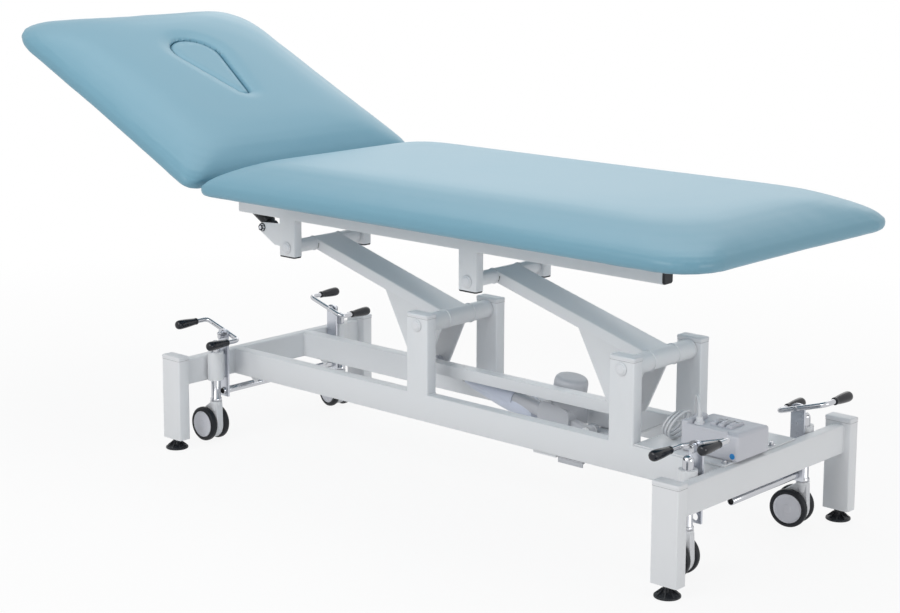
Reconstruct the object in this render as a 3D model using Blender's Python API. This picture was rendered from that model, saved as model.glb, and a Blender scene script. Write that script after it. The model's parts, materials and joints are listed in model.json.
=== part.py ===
import math

import bmesh
import bpy
import numpy as np
from mathutils import Matrix, Vector

# Electric examination couch with a parallelogram lift, a gas-spring head section and
# retractable castors. Metres, +Z up, +X towards the foot end, the near side is -Y.

for old in list(bpy.data.objects):
    bpy.data.objects.remove(old, do_unlink=True)

# Clearances
SEAT_GAP = 0.0003
RUN_GAP = 0.0004
SIDE_GAP = 0.0005

# Base frame
BASE_LENGTH = 1.438
BASE_WIDTH = 0.621
LEG_X = 0.060
LEG_Y = 0.030
LEG_BOTTOM = 0.0235
CROSSBAR_X = 0.0245
CROSSBAR_SETBACK = 0.0155
CROSSBAR_Z = 0.060
LEG_TOP = 0.214
CAP_RISE = 0.0032
RAIL_Y = 0.030
RAIL_Z = 0.060
RAIL_TOP = 0.204
RAIL_OUT = 0.127
TUBE_ROUND = 0.004

# Posts and lift pivots
POST_X = 0.060
POST_TOP = 0.3735
HEAD_POST = -0.0956
PIVOT_SPACING = 0.5437
PIVOT_Z = 0.352

# Lift arms
ARM_LENGTH = 0.4206
ARM_ANGLE = math.radians(15.73)
ARM_WIDTH = 0.080
ARM_ABOVE = 0.0145
ARM_BELOW = 0.0115
LOWER_TUBE_R = 0.020
UPPER_TUBE_R = 0.0155
GUSSET_THICK = 0.005
GUSSET_START = 0.190
CRANK_X = -0.0724
CRANK_Z = -0.117
CRANK_R = 0.0165
CRANK_PIN_R = 0.007
AXLE_R = 0.008
AXLE_CAP_R = 0.0135
AXLE_CAP_RISE = 0.0045

# Link bar between the two cranks
LINK_Z = 0.025
LINK_NEAR = -0.031
LINK_FAR = -0.003

# Actuator
ANCHOR_X = 0.258
ANCHOR_Z = 0.158
ACT_Y = 0.018
ACT_LUG_Y = 0.016
ACT_LUG_R = 0.0125
ACT_PIN_R = 0.006
ACT_TUBE_R = 0.0160
ACT_TUBE_START = 0.100
ACT_TUBE_END = 0.345
ACT_RING_R = 0.0168
ACT_ROD_R = 0.009
ACT_ROD_IN = 0.235
ACT_EYE_R = 0.013
GEAR_START = 0.044
GEAR_END = 0.126
GEAR_BELOW = 0.026
GEAR_ABOVE = 0.030
GEAR_Y = 0.067
MOTOR_R = 0.0358
MOTOR_AT = 0.0785
MOTOR_TOP = 0.0895
MOTOR_BOTTOM = 0.082
STRAP_X = 0.060
STRAP_Y = 0.120
STRAP_THICK = 0.006
CHEEK_THICK = 0.005

# Top frame
TOP_RAIL_Y = 0.030
TOP_RAIL_Z = 0.058
TOP_RAIL_OUT = 0.1233
TOP_RAIL_BOTTOM = 0.530
TOP_RAIL_HEAD = -0.660
TOP_RAIL_FOOT = 0.538
BRACKET_X = 0.050
BRACKET_Y = 0.025
BRACKET_DROP = 0.0195
CROSS_TUBE = 0.030
FOOT_CROSS_AT = 0.340
PLUG_DEEP = 0.020
PLUG_HEAD = 0.005
PLUG_SHOULDER = 0.0035

# Head section
HINGE_X = -0.556
HINGE_RISE = 0.018
REST_TILT = math.radians(25.4)
HEAD_UP = math.radians(30.0)
HINGE_PIN_R = 0.0045
HINGE_EYE_R = 0.0095
LUG_THICK = 0.011
EAR_THICK = 0.007
HEAD_TUBE_Y = 0.025
HEAD_TUBE_Z = 0.030
HEAD_TUBE_END = 0.620
HEAD_CROSS = 0.025
HEAD_CROSS_NEAR = 0.150
HEAD_CROSS_FAR = 0.570

# Upholstery
PAD_WIDTH = 0.700
PAD_RISE = 0.081
PAD_SIDE = 0.0305
PAD_ROLL = 0.140
PAD_CROWN = 0.0025
PAD_CAP = 0.040
PAD_SHOULDER = 0.016
PAD_BOTTOM_ROUND = 0.010
PAD_CORNER = 0.082
PAD_JOINT_CORNER = 0.024
PAD_CORNER_GROW = 0.6
PAD_DRAWN_IN = 0.004
BOARD_THICK = 0.0183
BOARD_INSET = 0.085
FOOT_PAD_LENGTH = 1.307
HEAD_PAD_LENGTH = 0.712
HEAD_PAD_START = 0.012
JOINT_CLEAR = 0.0065
FACE_SETBACK = 0.262
FACE_SPAN = 0.180
FACE_WIDE_R = 0.066
FACE_TIP_R = 0.017
FACE_GAP = 0.0005
FACE_DISH = 0.004

# Gas spring
SPRING_X = -0.591
SPRING_Z = 0.501
SPRING_Y = -0.0805
SPRING_R = 0.011
SPRING_BODY = 0.225
SPRING_ROD_R = 0.005
SPRING_ROD_IN = 0.030
SPRING_EYE_Y = 0.014
SPRING_STUD_R = 0.005
SPRING_LUG_U = 0.400
SPRING_LUG_W = -0.075
PLATE_THICK = 0.005

# Castors and their pedals
CASTOR_SETBACK = 0.0575
CASTOR_Y = 0.200
SLEEVE_R = 0.0185
SLEEVE_BOTTOM = 0.147
STEM_R = 0.011
STEM_BOTTOM = 0.098
FORK_HEAD_R = 0.017
FORK_HEAD_Z = 0.0145
FORK_Y = 0.017
WHEEL_R = 0.0395
WHEEL_LIFT = 0.002
WHEEL_Y = 0.016
WHEEL_GAUGE = 0.020
WHEEL_AXLE_R = 0.006
TRAIL = 0.0215
WEB_X = 0.012
PEDAL_PLATE_Y = 0.005
PEDAL_PLATE_X = 0.031
PEDAL_PLATE_TOP = 0.009
PEDAL_PLATE_BOTTOM = 0.104
PEDAL_PLATE_OFF = 0.0255
PEDAL_Z = 0.2535
PEDAL_INNER = 0.0435
PEDAL_OUTER = 0.069
PEDAL_ROD_R = 0.0055
PEDAL_REACH = 0.089
PEDAL_TILT = math.radians(17.0)
PEDAL_PIN_R = 0.005
PEDAL_BEND = 0.012
PEDAL_HUB_R = 0.0085
CAM_R = 0.0075
CAM_DROP = 0.013
CAM_Y = 0.012
GRIP_R = 0.0108
GRIP_LENGTH = 0.060
SHAFT_R = 0.008
SHAFT_Z = 0.116
SHAFT_FOOT_END = -0.057

# Levelling feet
FOOT_R = 0.0255
FOOT_STEM_R = 0.0055
FOOT_STEM_TOP = 0.060
FOOT_NECK_R = 0.0085
FOOT_DISC = 0.0095

# Control box on its tray
BOX_X = 0.131
BOX_Y = 0.137
BOX_Z = 0.056
BOX_CENTRE_Y = -0.028
BOX_OVERHANG = 0.021
TRAY_THICK = 0.003
TRAY_X = 0.200
TRAY_LIP = 0.010
GLAND_R = 0.0065
GLAND_RISE = 0.010

# Motor lead
LEAD_R = 0.0026
LEAD_LOOPS = 3
LEAD_POINTS = 122
COIL_LEAN = 0.016
COIL_Y = 0.036
COIL_Z = 0.030
COIL_SHRINK = 0.09
COIL_STEP = 0.010

half_width = BASE_WIDTH / 2
cross_in = BASE_LENGTH / 2 - CROSSBAR_SETBACK - CROSSBAR_X
castor_x = BASE_LENGTH / 2 - CASTOR_SETBACK
rail_in = RAIL_OUT - RAIL_Y
top_rail_in = TOP_RAIL_OUT - TOP_RAIL_Y
top_rail_top = TOP_RAIL_BOTTOM + TOP_RAIL_Z
bracket_in = TOP_RAIL_OUT - BRACKET_Y
arm_dir = Vector((-math.cos(ARM_ANGLE), 0.0, math.sin(ARM_ANGLE)))
arm_nrm = Vector((math.sin(ARM_ANGLE), 0.0, math.cos(ARM_ANGLE)))
lower_head = Vector((HEAD_POST, 0.0, PIVOT_Z))
lower_foot = lower_head + Vector((PIVOT_SPACING, 0.0, 0.0))
upper_head = lower_head + arm_dir * ARM_LENGTH
upper_foot = lower_foot + arm_dir * ARM_LENGTH
crank_head = lower_head + Vector((CRANK_X, 0.0, CRANK_Z))
crank_foot = lower_foot + Vector((CRANK_X, 0.0, CRANK_Z))
hinge = Vector((HINGE_X, 0.0, top_rail_top + HINGE_RISE))
pad_seat = top_rail_top + SEAT_GAP
face_wide_at = HEAD_PAD_START + HEAD_PAD_LENGTH - FACE_SETBACK
face_tip_at = face_wide_at - FACE_SPAN


def roll_height(d):
    # Height of the rolled top at d in from the edge, over the underside.
    full = PAD_RISE - PAD_CROWN
    return full - (full - PAD_SIDE) * (1 - min(d / PAD_ROLL, 1.0)) ** 2


def pad_profile():
    # Inset and height from the underside's edge up the side, round the shoulder and over the top.
    rb = PAD_BOTTOM_ROUND
    rows = [(rb, 0.0), (rb * 0.3, rb * 0.3), (0.0, rb)]
    low = max(rb, PAD_SIDE * 0.6)
    rim = roll_height(PAD_SHOULDER)
    for k in (0.0, 0.35, 0.7, 1.0):
        rows.append((PAD_SHOULDER * k * k, low * (1 - k) ** 2 + 2 * PAD_SIDE * k * (1 - k) + rim * k * k))
    for k in (0.15, 0.34, 0.6, 1.0):
        d = PAD_SHOULDER + (PAD_ROLL - PAD_SHOULDER) * k
        rows.append((d, roll_height(d)))
    cap = PAD_WIDTH / 2 - PAD_CAP
    rows.append(((PAD_ROLL + cap) / 2, PAD_RISE - PAD_CROWN * 0.25))
    rows.append((cap, PAD_RISE))
    return rows


def joint_room():
    # Foot pad set back from the hinge so that the two rolled ends stay clear over the whole tilt.
    rows = np.array(pad_profile())
    side = np.interp(np.linspace(0, len(rows) - 1, 8 * len(rows)), range(len(rows)), rows[:, 0])
    high = np.interp(np.linspace(0, len(rows) - 1, 8 * len(rows)), range(len(rows)), rows[:, 1])
    base = pad_seat + BOARD_THICK - hinge.z
    room = HEAD_PAD_START
    for i in range(41):
        a = (REST_TILT + HEAD_UP) * i / 40
        x = -(HEAD_PAD_START + side) * math.cos(a) + (base + high) * math.sin(a)
        z = (HEAD_PAD_START + side) * math.sin(a) + (base + high) * math.cos(a)
        facing = np.interp(z - base, high, side, left=BOARD_INSET, right=PAD_WIDTH)
        room = max(room, float(np.max(x - facing)) + JOINT_CLEAR)
    return room


foot_pad_x0 = HINGE_X + joint_room()
foot_pad_x1 = foot_pad_x0 + FOOT_PAD_LENGTH


def material(name, colour, roughness, metallic=0.0):
    mat = bpy.data.materials.new(name)
    mat.use_nodes = True
    shader = mat.node_tree.nodes["Principled BSDF"]
    shader.inputs["Base Color"].default_value = (*colour, 1.0)
    shader.inputs["Roughness"].default_value = roughness
    shader.inputs["Metallic"].default_value = metallic
    return mat


WHITE = material("white_powder_coat", (0.80, 0.81, 0.82), 0.38)
CHROME = material("chrome", (0.72, 0.73, 0.76), 0.12, 1.0)
BLACK = material("black_rubber", (0.015, 0.016, 0.020), 0.55)
VINYL = material("blue_vinyl", (0.26, 0.48, 0.60), 0.42)
GREY = material("grey_housing", (0.58, 0.59, 0.64), 0.45)
STEEL = material("zinc_steel", (0.60, 0.61, 0.63), 0.32, 1.0)
LEAD = material("white_lead", (0.74, 0.75, 0.77), 0.5)


def rounded_rect(cx, cy, w, h, r, seg=2):
    pts = []
    r = min(r, w * 0.49, h * 0.49)
    for sx, sy, a0 in ((1, 1, 0), (-1, 1, 90), (-1, -1, 180), (1, -1, 270)):
        for i in range(seg + 1):
            a = math.radians(a0 + 90.0 * i / seg)
            pts.append((cx + sx * (w / 2 - r) + r * math.cos(a),
                        cy + sy * (h / 2 - r) + r * math.sin(a)))
    return pts


def circle(cx, cy, r, seg, start=0.0):
    return [(cx + r * math.cos(start + 2 * math.pi * i / seg),
             cy + r * math.sin(start + 2 * math.pi * i / seg)) for i in range(seg)]


def lift(points, axis, at):
    if axis == "x":
        return [Vector((at, p[0], p[1])) for p in points]
    if axis == "y":
        return [Vector((p[0], at, p[1])) for p in points]
    return [Vector((p[0], p[1], at)) for p in points]


def loft(loops):
    bm = bmesh.new()
    rings = [[bm.verts.new(p) for p in loop] for loop in loops]
    n = len(rings[0])
    for a, b in zip(rings, rings[1:]):
        for i in range(n):
            bm.faces.new((a[i], a[(i + 1) % n], b[(i + 1) % n], b[i]))
    bm.faces.new(rings[0])
    bm.faces.new(rings[-1])
    bmesh.ops.recalc_face_normals(bm, faces=bm.faces)
    return bm


def prism(points, axis, lo, hi):
    return loft([lift(points, axis, lo), lift(points, axis, hi)])


def bar_x(y0, y1, z0, z1, x0, x1, r=TUBE_ROUND):
    return prism(rounded_rect((y0 + y1) / 2, (z0 + z1) / 2, y1 - y0, z1 - z0, r), "x", x0, x1)


def bar_y(x0, x1, z0, z1, y0, y1, r=TUBE_ROUND):
    return prism(rounded_rect((x0 + x1) / 2, (z0 + z1) / 2, x1 - x0, z1 - z0, r), "y", y0, y1)


def capped_post(cx, cy, w, d, z0, z1, rise):
    rise_in = min(rise * 1.6, d * 0.3)
    return loft([lift(rounded_rect(cx, cy, w, d, TUBE_ROUND), "z", z0),
                 lift(rounded_rect(cx, cy, w, d, TUBE_ROUND), "z", z1),
                 lift(rounded_rect(cx, cy, w - 2 * rise_in, d - 2 * rise_in, TUBE_ROUND), "z", z1 + rise)])


def revolve(profile, seg, centre=(0, 0, 0), axis="z"):
    bm = bmesh.new()
    rings = []
    for r, h in profile:
        if r < 1e-7:
            rings.append([bm.verts.new((0, 0, h))])
        else:
            rings.append([bm.verts.new((p[0], p[1], h)) for p in circle(0, 0, r, seg)])
    for a, b in zip(rings, rings[1:]):
        for i in range(seg):
            j = (i + 1) % seg
            if len(a) == 1:
                bm.faces.new((a[0], b[j], b[i]))
            elif len(b) == 1:
                bm.faces.new((a[i], a[j], b[0]))
            else:
                bm.faces.new((a[i], a[j], b[j], b[i]))
    if len(rings[0]) > 1:
        bm.faces.new(rings[0])
    if len(rings[-1]) > 1:
        bm.faces.new(rings[-1])
    if axis == "y":
        bmesh.ops.rotate(bm, verts=bm.verts, matrix=Matrix.Rotation(math.radians(-90), 3, "X"))
    elif axis == "x":
        bmesh.ops.rotate(bm, verts=bm.verts, matrix=Matrix.Rotation(math.radians(90), 3, "Y"))
    bmesh.ops.translate(bm, verts=bm.verts, vec=Vector(centre))
    bmesh.ops.recalc_face_normals(bm, faces=bm.faces)
    return bm


def rod_y(x, z, r, y0, y1, seg=12):
    return prism(circle(x, z, r, seg), "y", y0, y1)


def sweep(points, r, sides=10):
    pts = [Vector(p) for p in points]
    side = None
    loops = []
    for i, p in enumerate(pts):
        a = pts[max(i - 1, 0)]
        b = pts[min(i + 1, len(pts) - 1)]
        t = (b - a).normalized()
        if side is None:
            side = t.orthogonal().normalized()
        side = (side - t * side.dot(t)).normalized()
        up = t.cross(side)
        loops.append([p + (side * math.cos(2 * math.pi * k / sides)
                           + up * math.sin(2 * math.pi * k / sides)) * r for k in range(sides)])
    return loft(loops)


def as_object(name, bm):
    mesh = bpy.data.meshes.new(name)
    bm.to_mesh(mesh)
    bm.free()
    ob = bpy.data.objects.new(name, mesh)
    bpy.context.collection.objects.link(ob)
    return ob


def combine(base, parts, operation):
    # One solid from several, by exact Booleans.
    body = as_object("work", base)
    others = [as_object("work_part", part) for part in parts]
    for other in others:
        mod = body.modifiers.new("join", "BOOLEAN")
        mod.operation = operation
        mod.solver = "EXACT"
        mod.object = other
    bpy.context.view_layer.update()
    done = body.evaluated_get(bpy.context.evaluated_depsgraph_get())
    out = bmesh.new()
    out.from_mesh(done.to_mesh())
    done.to_mesh_clear()
    for ob in [body] + others:
        bpy.data.objects.remove(ob, do_unlink=True)
    bmesh.ops.remove_doubles(out, verts=out.verts, dist=0.00001)
    bmesh.ops.dissolve_limit(out, angle_limit=math.radians(0.5), verts=out.verts, edges=out.edges)
    return out


def union(base, *parts):
    return combine(base, parts, "UNION")


def cut(base, *parts):
    return combine(base, parts, "DIFFERENCE")


def node(name, bm, mat, origin=(0, 0, 0), parent=None, sharp=35.0):
    # The solid is drawn in its parent's space; its origin goes to the joint or seat.
    bmesh.ops.translate(bm, verts=bm.verts, vec=-Vector(origin))
    ob = as_object(name, bm)
    ob.location = origin
    ob.parent = parent
    finish(ob, mat, sharp)
    return ob


def copy_node(name, source, location, turn=0.0, parent=None):
    ob = bpy.data.objects.new(name, source.data)
    bpy.context.collection.objects.link(ob)
    ob.location = location
    ob.rotation_euler = (0, 0, turn)
    ob.parent = parent
    return ob


def finish(ob, mat, sharp=35.0):
    ob.data.materials.clear()
    ob.data.materials.append(mat)
    ob.data.shade_smooth()
    ob.data.set_sharp_from_angle(angle=math.radians(sharp))


def empty(name, location, tilt=0.0, parent=None):
    ob = bpy.data.objects.new(name, None)
    bpy.context.collection.objects.link(ob)
    ob.location = location
    ob.rotation_euler = (0, tilt, 0)
    ob.parent = parent
    return ob


couch = empty("couch", (0, 0, 0))


# End frames: a crossbar on two legs, with a castor sleeve and a pedal plate at each corner.
def end_frame(name, s):
    parts = []
    leg_x = s * (BASE_LENGTH / 2 - LEG_X / 2)
    for t in (-1, 1):
        leg_y = t * (half_width - LEG_Y / 2)
        parts.append(capped_post(leg_x, leg_y, LEG_X, LEG_Y, LEG_BOTTOM, LEG_TOP, CAP_RISE))
        sx, sy = s * castor_x, t * CASTOR_Y
        parts.append(prism(circle(sx, sy, SLEEVE_R, 16), "z", SLEEVE_BOTTOM, LEG_TOP - 0.001))
        plate_y = t * (CASTOR_Y - PEDAL_PLATE_OFF)
        outline = [(sx - PEDAL_PLATE_X / 2, PEDAL_PLATE_BOTTOM), (sx + PEDAL_PLATE_X / 2, PEDAL_PLATE_BOTTOM)]
        for i in range(9):
            a = math.pi * i / 8
            outline.append((sx + PEDAL_PLATE_X / 2 * math.cos(a), PEDAL_Z + PEDAL_PLATE_TOP * math.sin(a)))
        parts.append(prism(outline, "y", plate_y - PEDAL_PLATE_Y / 2, plate_y + PEDAL_PLATE_Y / 2))
        web = sorted((plate_y, t * (CASTOR_Y - SLEEVE_R + 0.004)))
        parts.append(bar_y(sx - WEB_X / 2, sx + WEB_X / 2, SLEEVE_BOTTOM + 0.004, RAIL_TOP, web[0], web[1], 0.001))
    y_end = half_width - LEG_Y / 2
    bar0 = s * cross_in
    bar1 = s * (BASE_LENGTH / 2 - CROSSBAR_SETBACK)
    beam = bar_y(min(bar0, bar1), max(bar0, bar1), RAIL_TOP - CROSSBAR_Z, RAIL_TOP, -y_end, y_end)
    if s > 0:
        tray_z = RAIL_TOP + SEAT_GAP
        parts.append(bar_y(cross_in - TRAY_X, cross_in + TRAY_LIP, tray_z, tray_z + TRAY_THICK,
                           -RAIL_OUT + 0.004, RAIL_OUT - 0.004, 0.001))
        parts.append(bar_y(cross_in + 0.001, cross_in + TRAY_LIP - 0.001,
                           RAIL_TOP - TRAY_THICK, tray_z + TRAY_THICK / 2,
                           -RAIL_OUT + 0.006, RAIL_OUT - 0.006, 0.0005))
    body = union(beam, *parts)
    holes = []
    for t in (-1, 1):
        sx, sy = s * castor_x, t * CASTOR_Y
        holes.append(prism(circle(sx, sy, STEM_R + RUN_GAP, 16), "z", SLEEVE_BOTTOM - 0.01, LEG_TOP + 0.01))
        plate_y = t * (CASTOR_Y - PEDAL_PLATE_OFF)
        for hole_z, hole_r in ((PEDAL_Z, PEDAL_PIN_R), (SHAFT_Z, SHAFT_R)):
            holes.append(rod_y(sx, hole_z, hole_r + RUN_GAP, plate_y - 0.008, plate_y + 0.008))
        leg_y = t * (half_width - LEG_Y / 2)
        holes.append(prism(circle(leg_x, leg_y, FOOT_STEM_R + RUN_GAP, 10), "z",
                           LEG_BOTTOM - 0.01, FOOT_STEM_TOP + 0.014))
    node(name, cut(body, *holes), WHITE, (bar0, 0, RAIL_TOP), couch)


end_frame("head_end_frame", -1)
end_frame("foot_end_frame", 1)


# Side frames: a long rail with the two pivot posts standing on it.
def side_frame(name, t):
    y0, y1 = sorted((t * RAIL_OUT, t * rail_in))
    rail = bar_x(y0, y1, RAIL_TOP - RAIL_Z, RAIL_TOP, -cross_in + SEAT_GAP, cross_in - SEAT_GAP)
    mid = (y0 + y1) / 2
    posts = [capped_post(x, mid, POST_X, RAIL_Y - 0.0004, RAIL_TOP - RAIL_Z / 2, POST_TOP, CAP_RISE)
             for x in (lower_head.x, lower_foot.x)]
    tab_x = -cross_in + 0.034
    tab_z = RAIL_TOP - RAIL_Z
    tab = prism([(tab_x, tab_z + 0.004), (tab_x + 0.040, tab_z + 0.004), (tab_x + 0.024, tab_z - 0.014)], "y",
                mid - 0.003, mid + 0.003)
    body = union(rail, tab, *posts)
    holes = [rod_y(x, PIVOT_Z, AXLE_R + RUN_GAP, y0 - 0.01, y1 + 0.01) for x in (lower_head.x, lower_foot.x)]
    node(name, cut(body, *holes), WHITE, (0, mid, RAIL_TOP), couch)


side_frame("near_side_frame", -1)
side_frame("far_side_frame", 1)


# Levelling feet, screwed up into the legs.
neck_top = LEG_BOTTOM - SEAT_GAP
foot_profile = [(0, 0), (FOOT_R, 0), (FOOT_R, FOOT_DISC * 0.42), (FOOT_R * 0.78, FOOT_DISC * 0.80),
                (FOOT_NECK_R, FOOT_DISC), (FOOT_NECK_R, neck_top), (FOOT_STEM_R, neck_top),
                (FOOT_STEM_R, FOOT_STEM_TOP), (0, FOOT_STEM_TOP)]
foot_names = {(-1, -1): "near_head_foot", (-1, 1): "far_head_foot",
              (1, -1): "near_foot_foot", (1, 1): "far_foot_foot"}
first = None
for (s, t), name in foot_names.items():
    place = (s * (BASE_LENGTH / 2 - LEG_X / 2), t * (half_width - LEG_Y / 2), 0.0)
    if first is None:
        first = node(name, revolve(foot_profile, 12), BLACK, (0, 0, 0), couch)
        first.location = place
    else:
        copy_node(name, first, place, 0.0, couch)


# Pivot axles with their white domed caps.
def axle(name, at, outer):
    end = outer + SEAT_GAP
    side = [(AXLE_R, end), (AXLE_CAP_R, end), (AXLE_CAP_R, end + AXLE_CAP_RISE * 0.45),
            (AXLE_CAP_R * 0.72, end + AXLE_CAP_RISE), (0, end + AXLE_CAP_RISE * 1.15)]
    profile = [(r, -h) for r, h in reversed(side)] + side
    node(name, revolve(profile, 10, at, "y"), WHITE, at, couch)


axle("head_lower_axle", lower_head, RAIL_OUT)
axle("foot_lower_axle", lower_foot, RAIL_OUT)
axle("head_upper_axle", upper_head, TOP_RAIL_OUT)
axle("foot_upper_axle", upper_foot, TOP_RAIL_OUT)


# Lift arms: a flat box arm, its two cross tubes and the pair of crank plates under the lower tube.
def lift_arm(name, low, pin_far):
    half = ARM_WIDTH / 2

    def at(t, h, y):
        p = low + arm_dir * t + arm_nrm * h
        return Vector((p.x, y, p.z))

    section = rounded_rect(0, (ARM_ABOVE - ARM_BELOW) / 2, ARM_WIDTH, ARM_ABOVE + ARM_BELOW, 0.003)
    arm = loft([[at(t, h, y) for y, h in section] for t in (0.0, ARM_LENGTH)])
    high = low + arm_dir * ARM_LENGTH
    tubes = [rod_y(low.x, low.z, LOWER_TUBE_R, -rail_in + SIDE_GAP, rail_in - SIDE_GAP, 18),
             rod_y(high.x, high.z, UPPER_TUBE_R, -bracket_in + SIDE_GAP, bracket_in - SIDE_GAP, 18)]
    crank = low + Vector((CRANK_X, 0, CRANK_Z))
    front = at(GUSSET_START, 0.0, 0)
    rear = low + Vector((-LOWER_TUBE_R * 0.2, 0, -LOWER_TUBE_R * 0.5))
    outline = [(rear.x, rear.z), (low.x, low.z), (front.x, front.z)]
    a0 = math.atan2(front.z - crank.z, front.x - crank.x) + math.radians(84)
    a1 = math.atan2(rear.z - crank.z, rear.x - crank.x) - math.radians(84) + 2 * math.pi
    for i in range(7):
        a = a0 + (a1 - a0) * i / 6
        outline.append((crank.x + CRANK_R * math.cos(a), crank.z + CRANK_R * math.sin(a)))
    inner = half - GUSSET_THICK
    plates = [prism(outline, "y", -half + 0.0003, -inner), prism(outline, "y", inner, half - 0.0003)]
    pin = rod_y(crank.x, crank.z, CRANK_PIN_R, -half - 0.003, pin_far)
    bolt = rod_y(crank.x, crank.z, CRANK_PIN_R, inner - 0.002, half + 0.003)
    body = union(arm, *tubes, *plates, pin, bolt)
    bores = [rod_y(p.x, p.z, AXLE_R + RUN_GAP, -rail_in - 0.02, rail_in + 0.02) for p in (low, high)]
    node(name, cut(body, *bores), WHITE, low, couch)


pin_stop = ACT_Y - ACT_LUG_Y / 2 - 0.004
lift_arm("head_lift_arm", lower_head, min(pin_stop, LINK_FAR + 0.003))
lift_arm("foot_lift_arm", lower_foot, LINK_FAR + 0.003)


# Link bar that ties the two cranks together.
link = []
for i in range(9):
    a = math.radians(-90 + 180 * i / 8)
    link.append((crank_foot.x + LINK_Z / 2 * math.cos(a), crank_foot.z + LINK_Z / 2 * math.sin(a)))
for i in range(9):
    a = math.radians(90 + 180 * i / 8)
    link.append((crank_head.x + LINK_Z / 2 * math.cos(a), crank_head.z + LINK_Z / 2 * math.sin(a)))
link_body = cut(prism(link, "y", LINK_NEAR, LINK_FAR),
                *[rod_y(p.x, p.z, CRANK_PIN_R + RUN_GAP, LINK_NEAR - 0.01, LINK_FAR + 0.01)
                  for p in (crank_head, crank_foot)])
node("link_bar", link_body, WHITE, crank_head, couch)


# Actuator: gear housing with the motor standing on it, outer tube, rear lug, and the rod.
anchor = Vector((ANCHOR_X, ACT_Y, ANCHOR_Z))
act_line = Vector((crank_head.x - anchor.x, 0, crank_head.z - anchor.z))
act_length = act_line.length
act_slope = math.atan2(act_line.z, -act_line.x)
act_turn = Matrix.Rotation(act_slope, 3, "Y")


def along(s, n, y):
    # s runs from the anchor towards the crank, n stands square to it.
    return anchor + act_turn @ Vector((-s, y - ACT_Y, n))


def act_rod(s0, s1, r, seg=16):
    return loft([[along(s, r * math.cos(2 * math.pi * k / seg), ACT_Y + r * math.sin(2 * math.pi * k / seg))
                  for k in range(seg)] for s in (s0, s1)])


def act_prism(outline, y0, y1):
    return loft([[along(s, n, y) for s, n in outline] for y in (y0, y1)])


gear_y0 = LINK_FAR + 0.0045
gear_mid = (GEAR_START + GEAR_END) / 2
housing = act_prism(rounded_rect(gear_mid, (GEAR_ABOVE - GEAR_BELOW) / 2, GEAR_END - GEAR_START,
                                 GEAR_ABOVE + GEAR_BELOW, 0.018, 4), gear_y0, gear_y0 + GEAR_Y)
motor_y = gear_y0 + MOTOR_R + 0.0003
motor_loops = []
for n, k in ((-MOTOR_BOTTOM, 0.80), (-MOTOR_BOTTOM + 0.004, 0.94), (-MOTOR_BOTTOM + 0.012, 1.0),
             (MOTOR_TOP - 0.014, 1.0), (MOTOR_TOP - 0.005, 0.94), (MOTOR_TOP - 0.001, 0.80), (MOTOR_TOP, 0.6)):
    motor_loops.append([along(MOTOR_AT + MOTOR_R * k * math.cos(2 * math.pi * i / 20), n,
                              motor_y + MOTOR_R * k * math.sin(2 * math.pi * i / 20)) for i in range(20)])
lug = act_prism(circle(0, 0, ACT_LUG_R, 16), ACT_Y - ACT_LUG_Y / 2, ACT_Y + ACT_LUG_Y / 2)
lug_neck = act_prism([(0, -ACT_LUG_R * 0.8), (GEAR_START + 0.01, -ACT_LUG_R * 0.8),
                      (GEAR_START + 0.01, ACT_LUG_R * 0.8), (0, ACT_LUG_R * 0.8)],
                     ACT_Y - ACT_LUG_Y / 2 + 0.0004, ACT_Y + ACT_LUG_Y / 2 - 0.0004)
body = union(housing, loft(motor_loops), lug, lug_neck, act_rod(ACT_TUBE_START, ACT_TUBE_END, ACT_TUBE_R),
             act_rod(ACT_TUBE_END - 0.012, ACT_TUBE_END, ACT_RING_R))
rod_back = act_length - ACT_ROD_IN
body = cut(body, act_rod(rod_back - 0.065, ACT_TUBE_END + 0.01, ACT_ROD_R + RUN_GAP),
           act_prism(circle(0, 0, ACT_PIN_R + RUN_GAP, 16), ACT_Y - ACT_LUG_Y, ACT_Y + ACT_LUG_Y))
node("actuator_body", body, GREY, anchor, couch)
eye = act_prism(circle(act_length, 0, ACT_EYE_R, 18), ACT_Y - ACT_LUG_Y / 2, ACT_Y + ACT_LUG_Y / 2)
rod = union(act_rod(rod_back, act_length, ACT_ROD_R), eye)
node("actuator_rod", rod, STEEL, Vector((crank_head.x, ACT_Y, crank_head.z)), couch)

# Anchor: a strap under both side rails with two cheeks and the pin for the rear lug.
strap_top = RAIL_TOP - RAIL_Z - SEAT_GAP
strap_x0 = ANCHOR_X - STRAP_X * 0.58
strap = bar_y(strap_x0, strap_x0 + STRAP_X, strap_top - STRAP_THICK, strap_top, -STRAP_Y, STRAP_Y, 0.0015)
cheek = [(ANCHOR_X - 0.018, strap_top - STRAP_THICK / 2), (ANCHOR_X + 0.022, strap_top - STRAP_THICK / 2)]
for i in range(7):
    a = math.radians(-20 + 220 * i / 6)
    cheek.append((ANCHOR_X + 0.011 * math.cos(a), ANCHOR_Z + 0.011 * math.sin(a)))
cheek_in = ACT_LUG_Y / 2 + SIDE_GAP
cheeks = [prism(cheek, "y", ACT_Y - cheek_in - CHEEK_THICK, ACT_Y - cheek_in),
          prism(cheek, "y", ACT_Y + cheek_in, ACT_Y + cheek_in + CHEEK_THICK)]
pin_out = cheek_in + CHEEK_THICK + 0.002
pin = rod_y(ANCHOR_X, ANCHOR_Z, ACT_PIN_R, ACT_Y - pin_out, ACT_Y + pin_out)
node("actuator_anchor", union(strap, *cheeks, pin), WHITE, (ANCHOR_X, 0, strap_top), couch)


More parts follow.
